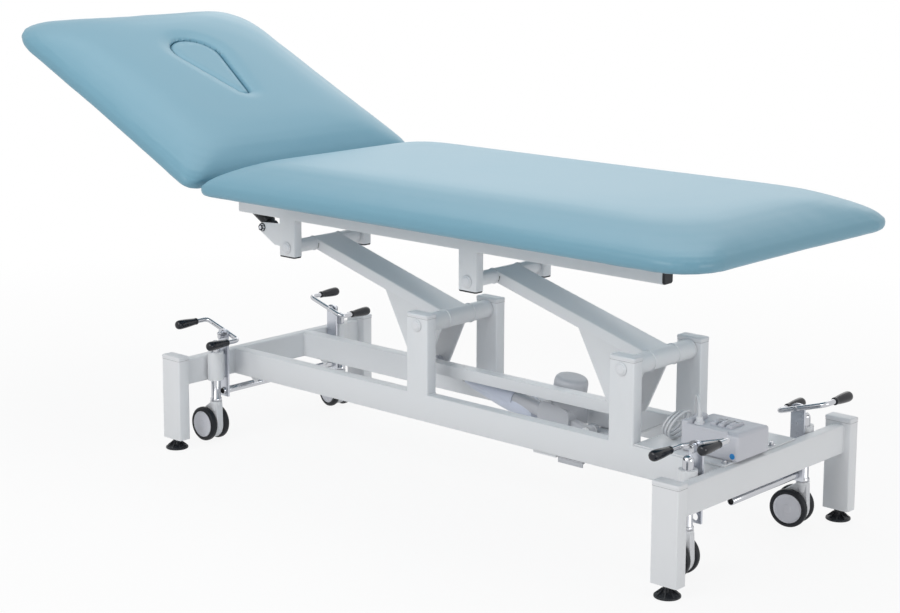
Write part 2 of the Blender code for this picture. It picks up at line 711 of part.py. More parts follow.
# Top frame: two rails, four drop brackets, cross tubes, head hinge lugs and the gas spring plate.
bracket_bottom = upper_head.z - BRACKET_DROP
parts = []
holes = []
for t in (-1, 1):
    y0, y1 = sorted((t * TOP_RAIL_OUT, t * top_rail_in))
    rail = bar_x(y0, y1, TOP_RAIL_BOTTOM, top_rail_top, TOP_RAIL_HEAD, TOP_RAIL_FOOT)
    parts.append(rail)
    b0, b1 = sorted((t * (TOP_RAIL_OUT - 0.0003), t * (bracket_in)))
    for p in (upper_head, upper_foot):
        parts.append(prism(rounded_rect(p.x, (b0 + b1) / 2, BRACKET_X, b1 - b0, TUBE_ROUND), "z",
                           bracket_bottom, TOP_RAIL_BOTTOM + 0.006))
        holes.append(rod_y(p.x, p.z, AXLE_R + RUN_GAP, b0 - 0.01, b1 + 0.01))
        holes.append(prism(rounded_rect(p.x, (b0 + b1) / 2, BRACKET_X - 2 * PLUG_SHOULDER, BRACKET_Y - 2 * PLUG_SHOULDER,
                                        0.002, 1), "z", bracket_bottom - 0.01, bracket_bottom + PLUG_HEAD + 0.001))
    plug_hole = rounded_rect((y0 + y1) / 2, (TOP_RAIL_BOTTOM + top_rail_top) / 2, TOP_RAIL_Y - 2 * PLUG_SHOULDER,
                             TOP_RAIL_Z - 2 * PLUG_SHOULDER, 0.002, 1)
    holes.append(prism(plug_hole, "x", TOP_RAIL_FOOT - PLUG_DEEP - 0.001, TOP_RAIL_FOOT + 0.01))
    lug_foot = top_rail_top - 0.010
    lug_outline = [(HINGE_X - HINGE_EYE_R, lug_foot), (HINGE_X + HINGE_EYE_R, lug_foot)]
    for i in range(9):
        a = math.pi * i / 8
        lug_outline.append((HINGE_X + HINGE_EYE_R * math.cos(a), hinge.z + HINGE_EYE_R * math.sin(a)))
    l0, l1 = sorted((t * (TOP_RAIL_OUT - 0.0003), t * (TOP_RAIL_OUT - LUG_THICK)))
    parts.append(prism(lug_outline, "y", l0, l1))
    holes.append(rod_y(HINGE_X, hinge.z, HINGE_PIN_R + RUN_GAP, l0 - 0.004, l1 + 0.004))
for x in (upper_head.x + BRACKET_X, upper_foot.x + FOOT_CROSS_AT):
    cross_z = TOP_RAIL_BOTTOM + (TOP_RAIL_Z - CROSS_TUBE) / 2
    parts.append(bar_y(x, x + CROSS_TUBE, cross_z, cross_z + CROSS_TUBE,
                       -top_rail_in - 0.004, top_rail_in + 0.004, 0.003))
plate_y = -TOP_RAIL_OUT + BRACKET_Y / 2
px = upper_head.x - BRACKET_X / 2
plate = [(px + 0.006, bracket_bottom + 0.017), (px - 0.026, bracket_bottom + 0.019),
         (SPRING_X - 0.006, SPRING_Z - 0.010)]
for i in range(6):
    a = math.radians(215 - 125 * i / 5)
    plate.append((SPRING_X + 0.011 * math.cos(a), SPRING_Z + 0.011 * math.sin(a)))
plate += [(px + 0.006, SPRING_Z + 0.015)]
parts.append(prism(plate, "y", plate_y - PLATE_THICK / 2, plate_y + PLATE_THICK / 2))
parts.append(rod_y(SPRING_X, SPRING_Z, SPRING_STUD_R,
                   plate_y - PLATE_THICK / 2 - 0.002, SPRING_Y + SPRING_EYE_Y / 2 + 0.006, 14))
parts.append(prism(circle(SPRING_X, SPRING_Z, 0.0085, 6), "y", plate_y - PLATE_THICK / 2 - 0.0055, plate_y))
body = cut(union(parts[0], *parts[1:]), *holes)
node("top_frame", body, WHITE, upper_head, couch)
for t, name in ((-1, "near_rail_plug"), (1, "far_rail_plug")):
    y = t * (TOP_RAIL_OUT - TOP_RAIL_Y / 2)
    zc = TOP_RAIL_BOTTOM + TOP_RAIL_Z / 2
    shank = 2 * (PLUG_SHOULDER + SEAT_GAP)
    inner = rounded_rect(y, zc, TOP_RAIL_Y - shank, TOP_RAIL_Z - shank, 0.002, 1)
    outer = rounded_rect(y, zc, TOP_RAIL_Y, TOP_RAIL_Z, TUBE_ROUND, 1)
    crown = rounded_rect(y, zc, TOP_RAIL_Y - 0.005, TOP_RAIL_Z - 0.005, 0.002, 1)
    loops = [lift(inner, "x", TOP_RAIL_FOOT - PLUG_DEEP), lift(inner, "x", TOP_RAIL_FOOT + SEAT_GAP),
             lift(outer, "x", TOP_RAIL_FOOT + SEAT_GAP), lift(outer, "x", TOP_RAIL_FOOT + PLUG_HEAD * 0.6),
             lift(crown, "x", TOP_RAIL_FOOT + PLUG_HEAD)]
    node(name, loft(loops), BLACK, (TOP_RAIL_FOOT, y, zc), couch)
plug_names = (("near_head_bracket_plug", -1, upper_head), ("far_head_bracket_plug", 1, upper_head),
              ("near_foot_bracket_plug", -1, upper_foot), ("far_foot_bracket_plug", 1, upper_foot))
for name, t, p in plug_names:
    y = t * (TOP_RAIL_OUT - BRACKET_Y / 2)
    shank = 2 * (PLUG_SHOULDER + SEAT_GAP)
    low = bracket_bottom - SEAT_GAP
    loops = [lift(rounded_rect(p.x, y, BRACKET_X - 0.003, BRACKET_Y - 0.003, 0.003, 1), "z", low - 0.0032),
             lift(rounded_rect(p.x, y, BRACKET_X, BRACKET_Y, TUBE_ROUND, 1), "z", low - 0.0022),
             lift(rounded_rect(p.x, y, BRACKET_X, BRACKET_Y, TUBE_ROUND, 1), "z", low),
             lift(rounded_rect(p.x, y, BRACKET_X - shank, BRACKET_Y - shank, 0.002, 1), "z", low),
             lift(rounded_rect(p.x, y, BRACKET_X - shank, BRACKET_Y - shank, 0.002, 1), "z", bracket_bottom + PLUG_HEAD)]
    node(name, loft(loops), BLACK, (p.x, y, bracket_bottom), couch)


# Upholstery: an outline with round corners, drawn in along its sides, lofted up a cushion profile.
def pad_outline(x0, x1, half_y, r0, r1, inset, drawn):
    # r0 rounds the corners at x0, r1 those at x1; inner loops are rounder, so the top has no ridges.
    cx, hx, hy = (x0 + x1) / 2, (x1 - x0) / 2 - inset, half_y - inset
    most = min(hx, hy) - 0.002
    r0 = min(r0 + PAD_CORNER_GROW * inset, most)
    r1 = min(r1 + PAD_CORNER_GROW * inset, most)
    pts = []
    corners = ((1, 1, r1, r0, 0), (-1, 1, r0, r0, 90), (-1, -1, r0, r1, 180), (1, -1, r1, r1, 270))
    for sx, sy, r, following, a0 in corners:
        middle = Vector((cx + sx * (hx - r), sy * (hy - r)))
        for i in range(6):
            a = math.radians(a0 + 90.0 * i / 5)
            pts.append((middle.x + r * math.cos(a), middle.y + r * math.sin(a)))
        along_x = a0 in (0, 180)
        steps = 9 if along_x else 6
        start = Vector(pts[-1])
        end = Vector((cx + sx * hx, -sy * (hy - following)))
        if along_x:
            end = Vector((cx - sx * (hx - following), sy * hy))
        inward = Vector((0, -sy)) if along_x else Vector((-sx, 0))
        for i in range(1, steps):
            p = start.lerp(end, i / steps) + inward * drawn * math.sin(math.pi * i / steps)
            pts.append((p.x, p.y))
    return pts


def pad(x0, x1, z0, r0, r1):
    # A base board set in from the edge, the wrapped underside, drawn-in sides and a rolled, crowned top.
    under = z0 + BOARD_THICK
    rows = [(BOARD_INSET, z0), (BOARD_INSET, under)] + [(d, under + h) for d, h in pad_profile()]
    return loft([lift(pad_outline(x0, x1, PAD_WIDTH / 2, r0, r1, d, PAD_DRAWN_IN * max(0.0, 1 - d / 0.1)), "z", z)
                 for d, z in rows])


node("foot_pad", pad(foot_pad_x0, foot_pad_x1, pad_seat, PAD_JOINT_CORNER, PAD_CORNER), VINYL,
     (foot_pad_x0, 0, pad_seat), couch, 60.0)


# Head section, drawn flat about its hinge and carried by an empty at the photographed tilt.
head = empty("head_hinge", hinge, REST_TILT, couch)
seat_w = pad_seat - hinge.z
tube_top = seat_w - SEAT_GAP
tube_low = tube_top - HEAD_TUBE_Z
tube_in = TOP_RAIL_OUT + SIDE_GAP
parts = []
for t in (-1, 1):
    y0, y1 = sorted((t * tube_in, t * (tube_in + HEAD_TUBE_Y)))
    parts.append(bar_x(y0, y1, tube_low, tube_top, -HEAD_TUBE_END, -HEAD_PAD_START, 0.003))
    ear = [(-HEAD_PAD_START - 0.050, tube_low + 0.002), (-HEAD_PAD_START - 0.050, tube_top - 0.002),
           (-HEAD_PAD_START, tube_top - 0.002)]
    for i in range(9):
        a = math.radians(180 - 180 * i / 8)
        ear.append((HINGE_EYE_R * math.cos(a), HINGE_EYE_R * math.sin(a)))
    ear += [(HINGE_EYE_R, tube_top - 0.006), (HINGE_EYE_R - 0.008, tube_low + 0.002)]
    e0, e1 = sorted((t * (tube_in + 0.0002), t * (tube_in + EAR_THICK)))
    parts.append(prism(ear, "y", e0, e1))
    p0, p1 = sorted((t * (tube_in + 0.002), t * (TOP_RAIL_OUT - LUG_THICK - 0.002)))
    parts.append(rod_y(0, 0, HINGE_PIN_R, p0, p1, 14))
for u in (HEAD_CROSS_NEAR, HEAD_CROSS_FAR):
    parts.append(bar_y(-u - HEAD_CROSS, -u, tube_top - 0.001 - HEAD_CROSS, tube_top - 0.001,
                       -tube_in - 0.004, tube_in + 0.004, 0.002))
lug_y0 = SPRING_Y + SPRING_EYE_Y / 2 + SIDE_GAP
lug_y1 = lug_y0 + PLATE_THICK
stub_z = tube_top - 0.004
parts.append(bar_y(-SPRING_LUG_U - 0.014, -SPRING_LUG_U + 0.014, stub_z - 0.022, stub_z,
                   -tube_in - 0.004, lug_y0 + 0.001, 0.002))
lug = [(-SPRING_LUG_U + 0.022, stub_z - 0.002), (-SPRING_LUG_U - 0.022, stub_z - 0.002)]
for i in range(7):
    a = math.radians(180 + 180 * i / 6)
    lug.append((-SPRING_LUG_U + 0.013 * math.cos(a), SPRING_LUG_W + 0.013 * math.sin(a)))
parts.append(prism(lug, "y", lug_y0, lug_y1))
node("head_frame", union(parts[0], *parts[1:]), WHITE, (0, 0, 0), head)


def teardrop(grow):
    # Wide round end towards the head, narrow round tip towards the foot.
    big, small = FACE_WIDE_R + grow, FACE_TIP_R + grow
    span = FACE_SPAN
    lean = math.asin((FACE_WIDE_R - FACE_TIP_R) / span)
    pts = []
    for i in range(15):
        a = math.pi / 2 + lean * -1 + (math.pi + 2 * lean) * i / 14
        pts.append((-face_wide_at + big * math.cos(a), big * math.sin(a)))
    for i in range(9):
        a = -math.pi / 2 + lean + (math.pi - 2 * lean) * i / 8
        pts.append((-face_tip_at + small * math.cos(a), small * math.sin(a)))
    return pts


head_x0 = -HEAD_PAD_START - HEAD_PAD_LENGTH
head_x1 = -HEAD_PAD_START
crown_top = seat_w + BOARD_THICK + PAD_RISE
head_cushion = cut(pad(head_x0, head_x1, seat_w, PAD_CORNER, PAD_JOINT_CORNER),
                   prism(teardrop(FACE_GAP), "z", seat_w - 0.01, crown_top + 0.02))
node("head_pad", head_cushion, VINYL, (0, 0, 0), head, 60.0)
plug_top = crown_top - FACE_DISH
plug = loft([lift(teardrop(-0.004), "z", seat_w + 0.001), lift(teardrop(0.0), "z", seat_w + 0.005),
             lift(teardrop(0.0), "z", plug_top - 0.006), lift(teardrop(-0.003), "z", plug_top - 0.002),
             lift(teardrop(-0.009), "z", plug_top)])
node("face_plug", plug, VINYL, (-face_wide_at, 0, seat_w), head, 60.0)


# Gas spring from the plate on the near bracket to the lug under the head frame.
spring = Vector((SPRING_X, SPRING_Y, SPRING_Z))
lug_local = Vector((-SPRING_LUG_U, SPRING_Y, SPRING_LUG_W))
lug_point = hinge + Matrix.Rotation(REST_TILT, 3, "Y") @ lug_local
spring_line = Vector((lug_point.x - spring.x, 0, lug_point.z - spring.z))
spring_length = spring_line.length
spring_dir = spring_line.normalized()
spring_up = Vector((-spring_dir.z, 0, spring_dir.x)) * -1


def on_spring(s, n, y):
    return spring + spring_dir * s + spring_up * n + Vector((0, y, 0))


def spring_rod(s0, s1, r, seg=16):
    return loft([[on_spring(s, r * math.cos(2 * math.pi * k / seg), r * math.sin(2 * math.pi * k / seg))
                  for k in range(seg)] for s in (s0, s1)])


def spring_eye(s):
    return loft([[on_spring(s + p[0], p[1], y) for p in circle(0, 0, SPRING_R, 16)]
                 for y in (-SPRING_EYE_Y / 2, SPRING_EYE_Y / 2)])


open_length = (hinge + Matrix.Rotation(REST_TILT + HEAD_UP, 3, "Y") @ lug_local - spring).length
rod_inner = spring_length - (open_length - SPRING_BODY + SPRING_ROD_IN)
body = union(spring_rod(0.004, SPRING_BODY, SPRING_R), spring_eye(0.0))
body = cut(body, spring_rod(rod_inner - 0.062, SPRING_BODY + 0.01, SPRING_ROD_R + RUN_GAP),
           rod_y(SPRING_X, SPRING_Z, SPRING_STUD_R + RUN_GAP, SPRING_Y - 0.02, SPRING_Y + 0.02))
node("gas_spring_body", body, BLACK, spring, couch)
body = union(spring_rod(rod_inner, spring_length, SPRING_ROD_R), spring_eye(spring_length))
node("gas_spring_rod", body, CHROME, lug_point, couch)


# Castors: stem in its sleeve, swivelling fork and a pair of wheels on one axle.
fork_top = STEM_BOTTOM - SIDE_GAP
wheel_z = WHEEL_R + WHEEL_LIFT
dome_top = PEDAL_Z - CAM_DROP - SIDE_GAP
stem_profile = [(0, STEM_BOTTOM), (STEM_R * 1.2, STEM_BOTTOM), (STEM_R * 1.2, STEM_BOTTOM + 0.006),
                (STEM_R, STEM_BOTTOM + 0.008)]
for i in range(5):
    a = math.radians(90.0 * i / 4)
    stem_profile.append((STEM_R * math.cos(a), dome_top - STEM_R + STEM_R * math.sin(a)))
fork_side = []
for i in range(7):
    a = math.radians(150 + 200 * i / 6)
    fork_side.append((-TRAIL + 0.0115 * math.cos(a), wheel_z + 0.0115 * math.sin(a)))
fork_side += [(FORK_HEAD_R * 0.8, fork_top - FORK_HEAD_Z), (FORK_HEAD_R * 0.8, fork_top - 0.004),
              (-FORK_HEAD_R * 0.9, fork_top - 0.004), (-TRAIL * 1.28, fork_top - FORK_HEAD_Z * 1.5)]
half_tyre = WHEEL_GAUGE / 2 + WHEEL_Y
wheel_side = [(WHEEL_AXLE_R, WHEEL_GAUGE / 2 - 0.0005), (WHEEL_R * 0.34, WHEEL_GAUGE / 2),
              (WHEEL_R * 0.93, WHEEL_GAUGE / 2), (WHEEL_R, WHEEL_GAUGE / 2 + WHEEL_Y * 0.22),
              (WHEEL_R, half_tyre - WHEEL_Y * 0.26), (WHEEL_R * 0.92, half_tyre - 0.0004), (WHEEL_R * 0.79, half_tyre),
              (WHEEL_R * 0.76, half_tyre - 0.0018), (WHEEL_R * 0.3, half_tyre - 0.0002), (0, half_tyre + 0.0006)]
corner_names = {(-1, -1): "near_head", (-1, 1): "far_head", (1, -1): "near_foot", (1, 1): "far_foot"}
trail_angle = {(-1, -1): -1.0, (-1, 1): -12.0, (1, -1): 6.0, (1, 1): 10.0}
stem_mesh = fork_mesh = wheel_mesh = None
for (s, t), corner in corner_names.items():
    x, y = s * castor_x, t * CASTOR_Y
    turn = math.radians(trail_angle[(s, t)])
    if stem_mesh is None:
        stem_mesh = node(corner + "_castor_stem", revolve(stem_profile, 12), CHROME, (0, 0, 0), couch)
        stem_mesh.location = (x, y, 0)
        fork = union(prism(circle(0, 0, FORK_HEAD_R, 16), "z", fork_top - FORK_HEAD_Z, fork_top),
                     prism(fork_side, "y", -FORK_Y / 2, FORK_Y / 2))
        fork = cut(fork, rod_y(-TRAIL, wheel_z, WHEEL_AXLE_R + RUN_GAP, -0.03, 0.03))
        fork_mesh = node(corner + "_castor_fork", fork, WHITE, (0, 0, 0), couch)
        fork_mesh.location, fork_mesh.rotation_euler = (x, y, 0), (0, 0, turn)
        profile = [(r, -h) for r, h in reversed(wheel_side)] + wheel_side
        wheel_mesh = node(corner + "_castor_wheels", revolve(profile, 16, (0, 0, 0), "y"), BLACK, (0, 0, 0), couch)
    else:
        copy_node(corner + "_castor_stem", stem_mesh, (x, y, 0), 0.0, couch)
        copy_node(corner + "_castor_fork", fork_mesh, (x, y, 0), turn, couch)
        copy_node(corner + "_castor_wheels", wheel_mesh, (0, 0, 0), turn, couch)
    wheels = bpy.data.objects[corner + "_castor_wheels"]
    wheels.location = (x - TRAIL * math.cos(turn), y - TRAIL * math.sin(turn), wheel_z)
    wheels.rotation_euler = (0, 0, turn)


# Pedals: a bent rod with two prongs, a pivot pin through the plate and a pressing lug over the stem.
def bend(a, corner, b, r, steps=3):
    va, vb = (a - corner).normalized(), (b - corner).normalized()
    p0, p1 = corner + va * r, corner + vb * r
    return [p0.lerp(corner, k).lerp(corner.lerp(p1, k), k) for k in [i / steps for i in range(steps + 1)]]


grip_names = (("inner_grip", -1), ("outer_grip", 1))
for (s, t), corner in corner_names.items():
    sx = s * castor_x
    plate_y = CASTOR_Y - PEDAL_PLATE_OFF
    bar_at = plate_y - PEDAL_PLATE_Y / 2 - SIDE_GAP - PEDAL_ROD_R
    pivot = Vector((sx, t * plate_y, PEDAL_Z))
    lean = Vector((s * math.cos(PEDAL_TILT), 0, math.sin(PEDAL_TILT)))
    centre = Vector((sx, t * bar_at, PEDAL_Z))
    out = Vector((0, t * PEDAL_REACH, 0))
    ends = [centre - lean * PEDAL_INNER, centre + lean * PEDAL_OUTER]
    path = [ends[0] + out] + bend(ends[0] + out, ends[0], ends[1], PEDAL_BEND)
    path += bend(ends[0], ends[1], ends[1] + out, PEDAL_BEND) + [ends[1] + out]
    hub = sorted((t * (bar_at - PEDAL_ROD_R), t * (bar_at + PEDAL_ROD_R)))
    pin = sorted((t * bar_at, t * (plate_y + PEDAL_PLATE_Y / 2 + SIDE_GAP + 0.002)))
    cam0 = plate_y + PEDAL_PLATE_Y / 2 + SIDE_GAP
    cam = sorted((t * cam0, t * (cam0 + CAM_Y)))
    lug = []
    for i in range(12):
        a = math.pi * (i + 0.5) / 6
        drop = 0.0 if i < 6 else CAM_DROP - CAM_R
        lug.append((sx + CAM_R * math.cos(a), PEDAL_Z - drop + CAM_R * math.sin(a) / math.cos(math.pi / 12)))
    lever = union(sweep(path, PEDAL_ROD_R, 8), rod_y(sx, PEDAL_Z, PEDAL_HUB_R, hub[0], hub[1]),
                  rod_y(sx, PEDAL_Z, PEDAL_PIN_R, pin[0], pin[1]), prism(lug, "y", cam[0], cam[1]))
    node(corner + "_pedal", lever, CHROME, pivot, couch)
    for grip, k in grip_names:
        tip = ends[0 if k < 0 else 1] + out
        bore = PEDAL_ROD_R + RUN_GAP
        back = GRIP_LENGTH - 0.004
        profile = [(0, 0.004), (GRIP_R * 0.6, 0.0033), (GRIP_R * 0.9, 0.0), (GRIP_R, -0.006),
                   (GRIP_R * 0.95, -0.022), (GRIP_R * 0.79, -0.042), (GRIP_R * 0.7, -back), (bore, -back),
                   (bore, SEAT_GAP), (0, SEAT_GAP)]
        shape = revolve([(r, t * h) for r, h in profile], 9, tip, "y")
        node(corner + "_" + grip, shape, BLACK, tip, couch)

# Cross shafts held in the pedal plates.
plate_y = CASTOR_Y - PEDAL_PLATE_OFF
for name, s, y0, y1 in (("head_cross_shaft", -1, -plate_y - 0.006, plate_y + 0.006),
                        ("foot_cross_shaft", 1, SHAFT_FOOT_END, plate_y + 0.006)):
    x = s * castor_x
    shaft = cut(rod_y(x, SHAFT_Z, SHAFT_R, y0, y1, 14), rod_y(x, SHAFT_Z, SHAFT_R - 0.0015, y0 - 0.01, y0 + 0.03, 14))
    node(name, shaft, CHROME, (x, y0, SHAFT_Z), couch)


# Control box: a lidded housing on the tray, with a lead gland on its lid.
box_z0 = RAIL_TOP + 2 * SEAT_GAP + TRAY_THICK
box_cx = cross_in + BOX_OVERHANG - BOX_X / 2


def box_loop(grow, z):
    return lift(rounded_rect(box_cx, BOX_CENTRE_Y, BOX_X + 2 * grow, BOX_Y + 2 * grow, 0.012, 3), "z", z)


gland_x, gland_y = box_cx - BOX_X / 2 + 0.026, BOX_CENTRE_Y - BOX_Y / 2 + 0.026
case = loft([box_loop(-0.002, box_z0), box_loop(0.0, box_z0 + 0.002), box_loop(0.0, box_z0 + BOX_Z * 0.52),
             box_loop(-0.0012, box_z0 + BOX_Z * 0.54), box_loop(-0.0018, box_z0 + BOX_Z * 0.86),
             box_loop(-0.0042, box_z0 + BOX_Z * 0.97), box_loop(-0.008, box_z0 + BOX_Z)])
gland_top = box_z0 + BOX_Z + GLAND_RISE
gland = revolve([(0, box_z0 + BOX_Z * 0.6), (GLAND_R, box_z0 + BOX_Z * 0.6), (GLAND_R, gland_top - GLAND_RISE * 0.3),
                 (GLAND_R * 0.75, gland_top), (0, gland_top)], 16, (gland_x, gland_y, 0))
node("control_box", union(case, gland), GREY, (box_cx, BOX_CENTRE_Y, box_z0), couch)


# Motor lead: out of the gland, three tied loops on the tray, then down to the strap under the actuator.
def smooth(points, per=10):
    pts = np.array(points, dtype=float)
    full = np.vstack([2 * pts[0] - pts[1], pts, 2 * pts[-1] - pts[-2]])
    out = []
    for i in range(1, len(full) - 2):
        p0, p1, p2, p3 = full[i - 1:i + 3]
        for k in range(per):
            u = k / per
            out.append(0.5 * (2 * p1 + (p2 - p0) * u + (2 * p0 - 5 * p1 + 4 * p2 - p3) * u * u
                              + (3 * p1 - p0 - 3 * p2 + p3) * u ** 3))
    out.append(pts[-1])
    return np.array(out)


lead_top = gland_top + SEAT_GAP
loop_x, loop_y, loop_z = box_cx - BOX_X / 2 - 0.034, BOX_CENTRE_Y - 0.012, box_z0 + LEAD_R + COIL_Z - 0.0008
loops = []
for i in range(12 * LEAD_LOOPS + 1):
    turn = i / 12
    a = 2 * math.pi * turn
    size = 1.0 - COIL_SHRINK * turn
    loops.append((loop_x - COIL_LEAN * math.sin(a) * size - COIL_STEP * turn, loop_y + COIL_Y * math.cos(a) * size,
                  loop_z - COIL_Z * math.sin(a) * size))
(x0, y0, z0), (x1, y1, z1) = loops[0], loops[-1]
rise = [(gland_x + x, gland_y + y, lead_top + z) for x, y, z in (
    (0, 0, 0), (0, 0, 0.005), (-0.0006, 0.0007, 0.0105), (-0.0045, 0.005, 0.0205), (-0.012, 0.0132, 0.0275),
    (-0.0225, 0.0245, 0.030), (-0.0345, 0.0385, 0.0265), (-0.0455, 0.0515, 0.0165))]
rise += [(x0 + 0.0065, y0 - 0.0045, z0 + 0.032), (x0 + 0.003, y0 - 0.001, z0 + 0.016)]
run = [(x1 - 0.0085, y1 + 0.0012, z1 - 0.0115), (x1 - 0.0175, y1 + 0.006, z1 - 0.020),
       (x1 - 0.027, y1 + 0.0165, z1 - 0.0255), (x1 - 0.038, y1 + 0.031, z1 - 0.0285)]
run += [(ANCHOR_X + x, y, strap_top + z) for x, y, z in (
    (0.194, 0.0325, 0.0653), (0.180, 0.0455, 0.0613), (0.162, 0.0535, 0.0538), (0.140, 0.0575, 0.0433),
    (0.112, 0.058, 0.0288), (0.082, 0.058, 0.0153), (0.054, 0.058, 0.0068), (0.030, 0.058, LEAD_R + 3 * SEAT_GAP),
    (0.0, 0.058, LEAD_R + 2 * SEAT_GAP), (-0.016, 0.058, LEAD_R + 2 * SEAT_GAP))]
fine = smooth(rise + loops + run)
far = np.concatenate([[0.0], np.cumsum(np.linalg.norm(np.diff(fine, axis=0), axis=1))])
even = np.linspace(0.0, far[-1], LEAD_POINTS)
route = [Vector(p) for p in np.stack([np.interp(even, far, fine[:, k]) for k in range(3)], axis=1)]
lengths = [(b - a).length for a, b in zip(route, route[1:])]
place = [0.0]
for step in lengths:
    place.append(place[-1] + step)
least = min((route[i] - route[j]).length for i in range(len(route)) for j in range(i)
            if place[i] - place[j] > 0.03) - 2 * LEAD_R
print("motor lead length %.3f m, least gap to itself %.2f mm" % (sum(lengths), least * 1000))
curve = bpy.data.curves.new("motor_lead", "CURVE")
curve.dimensions = "3D"
curve.bevel_depth = LEAD_R
curve.bevel_resolution = 1
curve.use_fill_caps = True
spline = curve.splines.new("POLY")
spline.points.add(len(route) - 1)
for point, p in zip(spline.points, route):
    point.co = (*p, 1.0)
lead = bpy.data.objects.new("motor_lead", curve)
bpy.context.collection.objects.link(lead)
lead.parent = couch
curve.materials.append(LEAD)


# The origin stands on the floor under the middle of the couch.
bpy.context.view_layer.update()
reach = []
for ob in bpy.data.objects:
    if ob.type == "MESH":
        reach += [(ob.matrix_world @ v.co).x for v in ob.data.vertices]
shift = round(-(min(reach) + max(reach)) / 2, 4)
couch.location.x = shift
bpy.context.view_layer.update()
print("shift to the middle of the couch %.4f m" % shift)
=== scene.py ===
import json
import math

import bmesh
import bpy
import numpy as np
from mathutils import Matrix, Vector, noise
from mathutils.bvhtree import BVHTree


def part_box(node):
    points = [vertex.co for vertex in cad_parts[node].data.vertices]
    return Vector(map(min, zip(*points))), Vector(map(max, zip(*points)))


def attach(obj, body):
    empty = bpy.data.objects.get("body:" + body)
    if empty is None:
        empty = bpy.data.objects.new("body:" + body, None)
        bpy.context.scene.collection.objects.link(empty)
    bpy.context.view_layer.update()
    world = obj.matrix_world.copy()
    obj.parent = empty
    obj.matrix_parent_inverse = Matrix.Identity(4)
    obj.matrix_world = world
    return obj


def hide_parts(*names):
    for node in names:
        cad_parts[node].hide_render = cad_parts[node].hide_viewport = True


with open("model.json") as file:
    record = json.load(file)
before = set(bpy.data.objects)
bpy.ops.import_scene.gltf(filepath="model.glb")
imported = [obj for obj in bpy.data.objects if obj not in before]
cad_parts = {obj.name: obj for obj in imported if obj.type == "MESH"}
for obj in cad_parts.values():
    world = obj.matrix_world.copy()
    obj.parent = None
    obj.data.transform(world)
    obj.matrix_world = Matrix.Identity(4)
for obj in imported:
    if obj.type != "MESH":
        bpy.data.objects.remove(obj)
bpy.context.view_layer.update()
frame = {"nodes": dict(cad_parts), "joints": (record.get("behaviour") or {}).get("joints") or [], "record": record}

nodes = frame["nodes"]
joints = {j["name"]: j for j in frame["joints"]}
scene = bpy.context.scene
print("frame loaded,", len(nodes), "solids")


# shared effects, one node group each

def newGroup(name, inputs, outputs):
    group = bpy.data.node_groups.new(name, "ShaderNodeTree")
    for label, kind, value in inputs:
        socket = group.interface.new_socket(label, in_out="INPUT", socket_type=kind)
        socket.default_value = value
    for label, kind in outputs:
        group.interface.new_socket(label, in_out="OUTPUT", socket_type=kind)
    start = group.nodes.new("NodeGroupInput")
    end = group.nodes.new("NodeGroupOutput")
    return group, start, end


def feed(tree, socket, v):
    if isinstance(v, (int, float)):
        socket.default_value = v
    else:
        tree.links.new(v, socket)


def mathNode(tree, operation, a, b):
    n = tree.nodes.new("ShaderNodeMath")
    n.operation = operation
    for i, v in enumerate((a, b)):
        feed(tree, n.inputs[i], v)
    return n.outputs[0]


def mixColor(tree, blend, factor, a, b):
    n = tree.nodes.new("ShaderNodeMix")
    n.data_type = "RGBA"
    n.blend_type = blend
    for socket, v in ((n.inputs[0], factor), (n.inputs[6], a), (n.inputs[7], b)):
        feed(tree, socket, v)
    return n.outputs[2]


def noiseNode(tree, vector, scale, detail, rough=0.5):
    n = tree.nodes.new("ShaderNodeTexNoise")
    n.inputs["Detail"].default_value = detail
    n.inputs["Roughness"].default_value = rough
    tree.links.new(vector, n.inputs["Vector"])
    feed(tree, n.inputs["Scale"], scale)
    return n.outputs["Fac"]


def makeTone():
    # slow drift of colour and gloss over a surface, plus fine specks
    group, start, end = newGroup("surfaceTone", [
        ("Color", "NodeSocketColor", (0.8, 0.8, 0.8, 1)), ("Cloud Scale", "NodeSocketFloat", 6.0),
        ("Cloud Amount", "NodeSocketFloat", 0.06), ("Speck Scale", "NodeSocketFloat", 300.0),
        ("Speck Amount", "NodeSocketFloat", 0.03), ("Roughness", "NodeSocketFloat", 0.4),
        ("Gloss Drift", "NodeSocketFloat", 0.1)],
        [("Color", "NodeSocketColor"), ("Roughness", "NodeSocketFloat")])
    coord = group.nodes.new("ShaderNodeTexCoord").outputs["Object"]
    cloud = mathNode(group, "SUBTRACT", noiseNode(group, coord, start.outputs["Cloud Scale"], 4.0), 0.5)
    speck = mathNode(group, "SUBTRACT", noiseNode(group, coord, start.outputs["Speck Scale"], 2.0), 0.5)
    level = mathNode(group, "ADD", mathNode(group, "MULTIPLY", cloud, start.outputs["Cloud Amount"]),
                     mathNode(group, "MULTIPLY", speck, start.outputs["Speck Amount"]))
    level = mathNode(group, "ADD", level, 1.0)
    gray = group.nodes.new("ShaderNodeCombineColor")
    for i in range(3):
        group.links.new(level, gray.inputs[i])
    color = mixColor(group, "MULTIPLY", 1.0, start.outputs["Color"], gray.outputs[0])
    group.links.new(color, end.inputs["Color"])
    drift = mathNode(group, "MULTIPLY", mathNode(group, "ADD", cloud, speck), start.outputs["Gloss Drift"])
    group.links.new(mathNode(group, "ADD", start.outputs["Roughness"], drift), end.inputs["Roughness"])
    return group


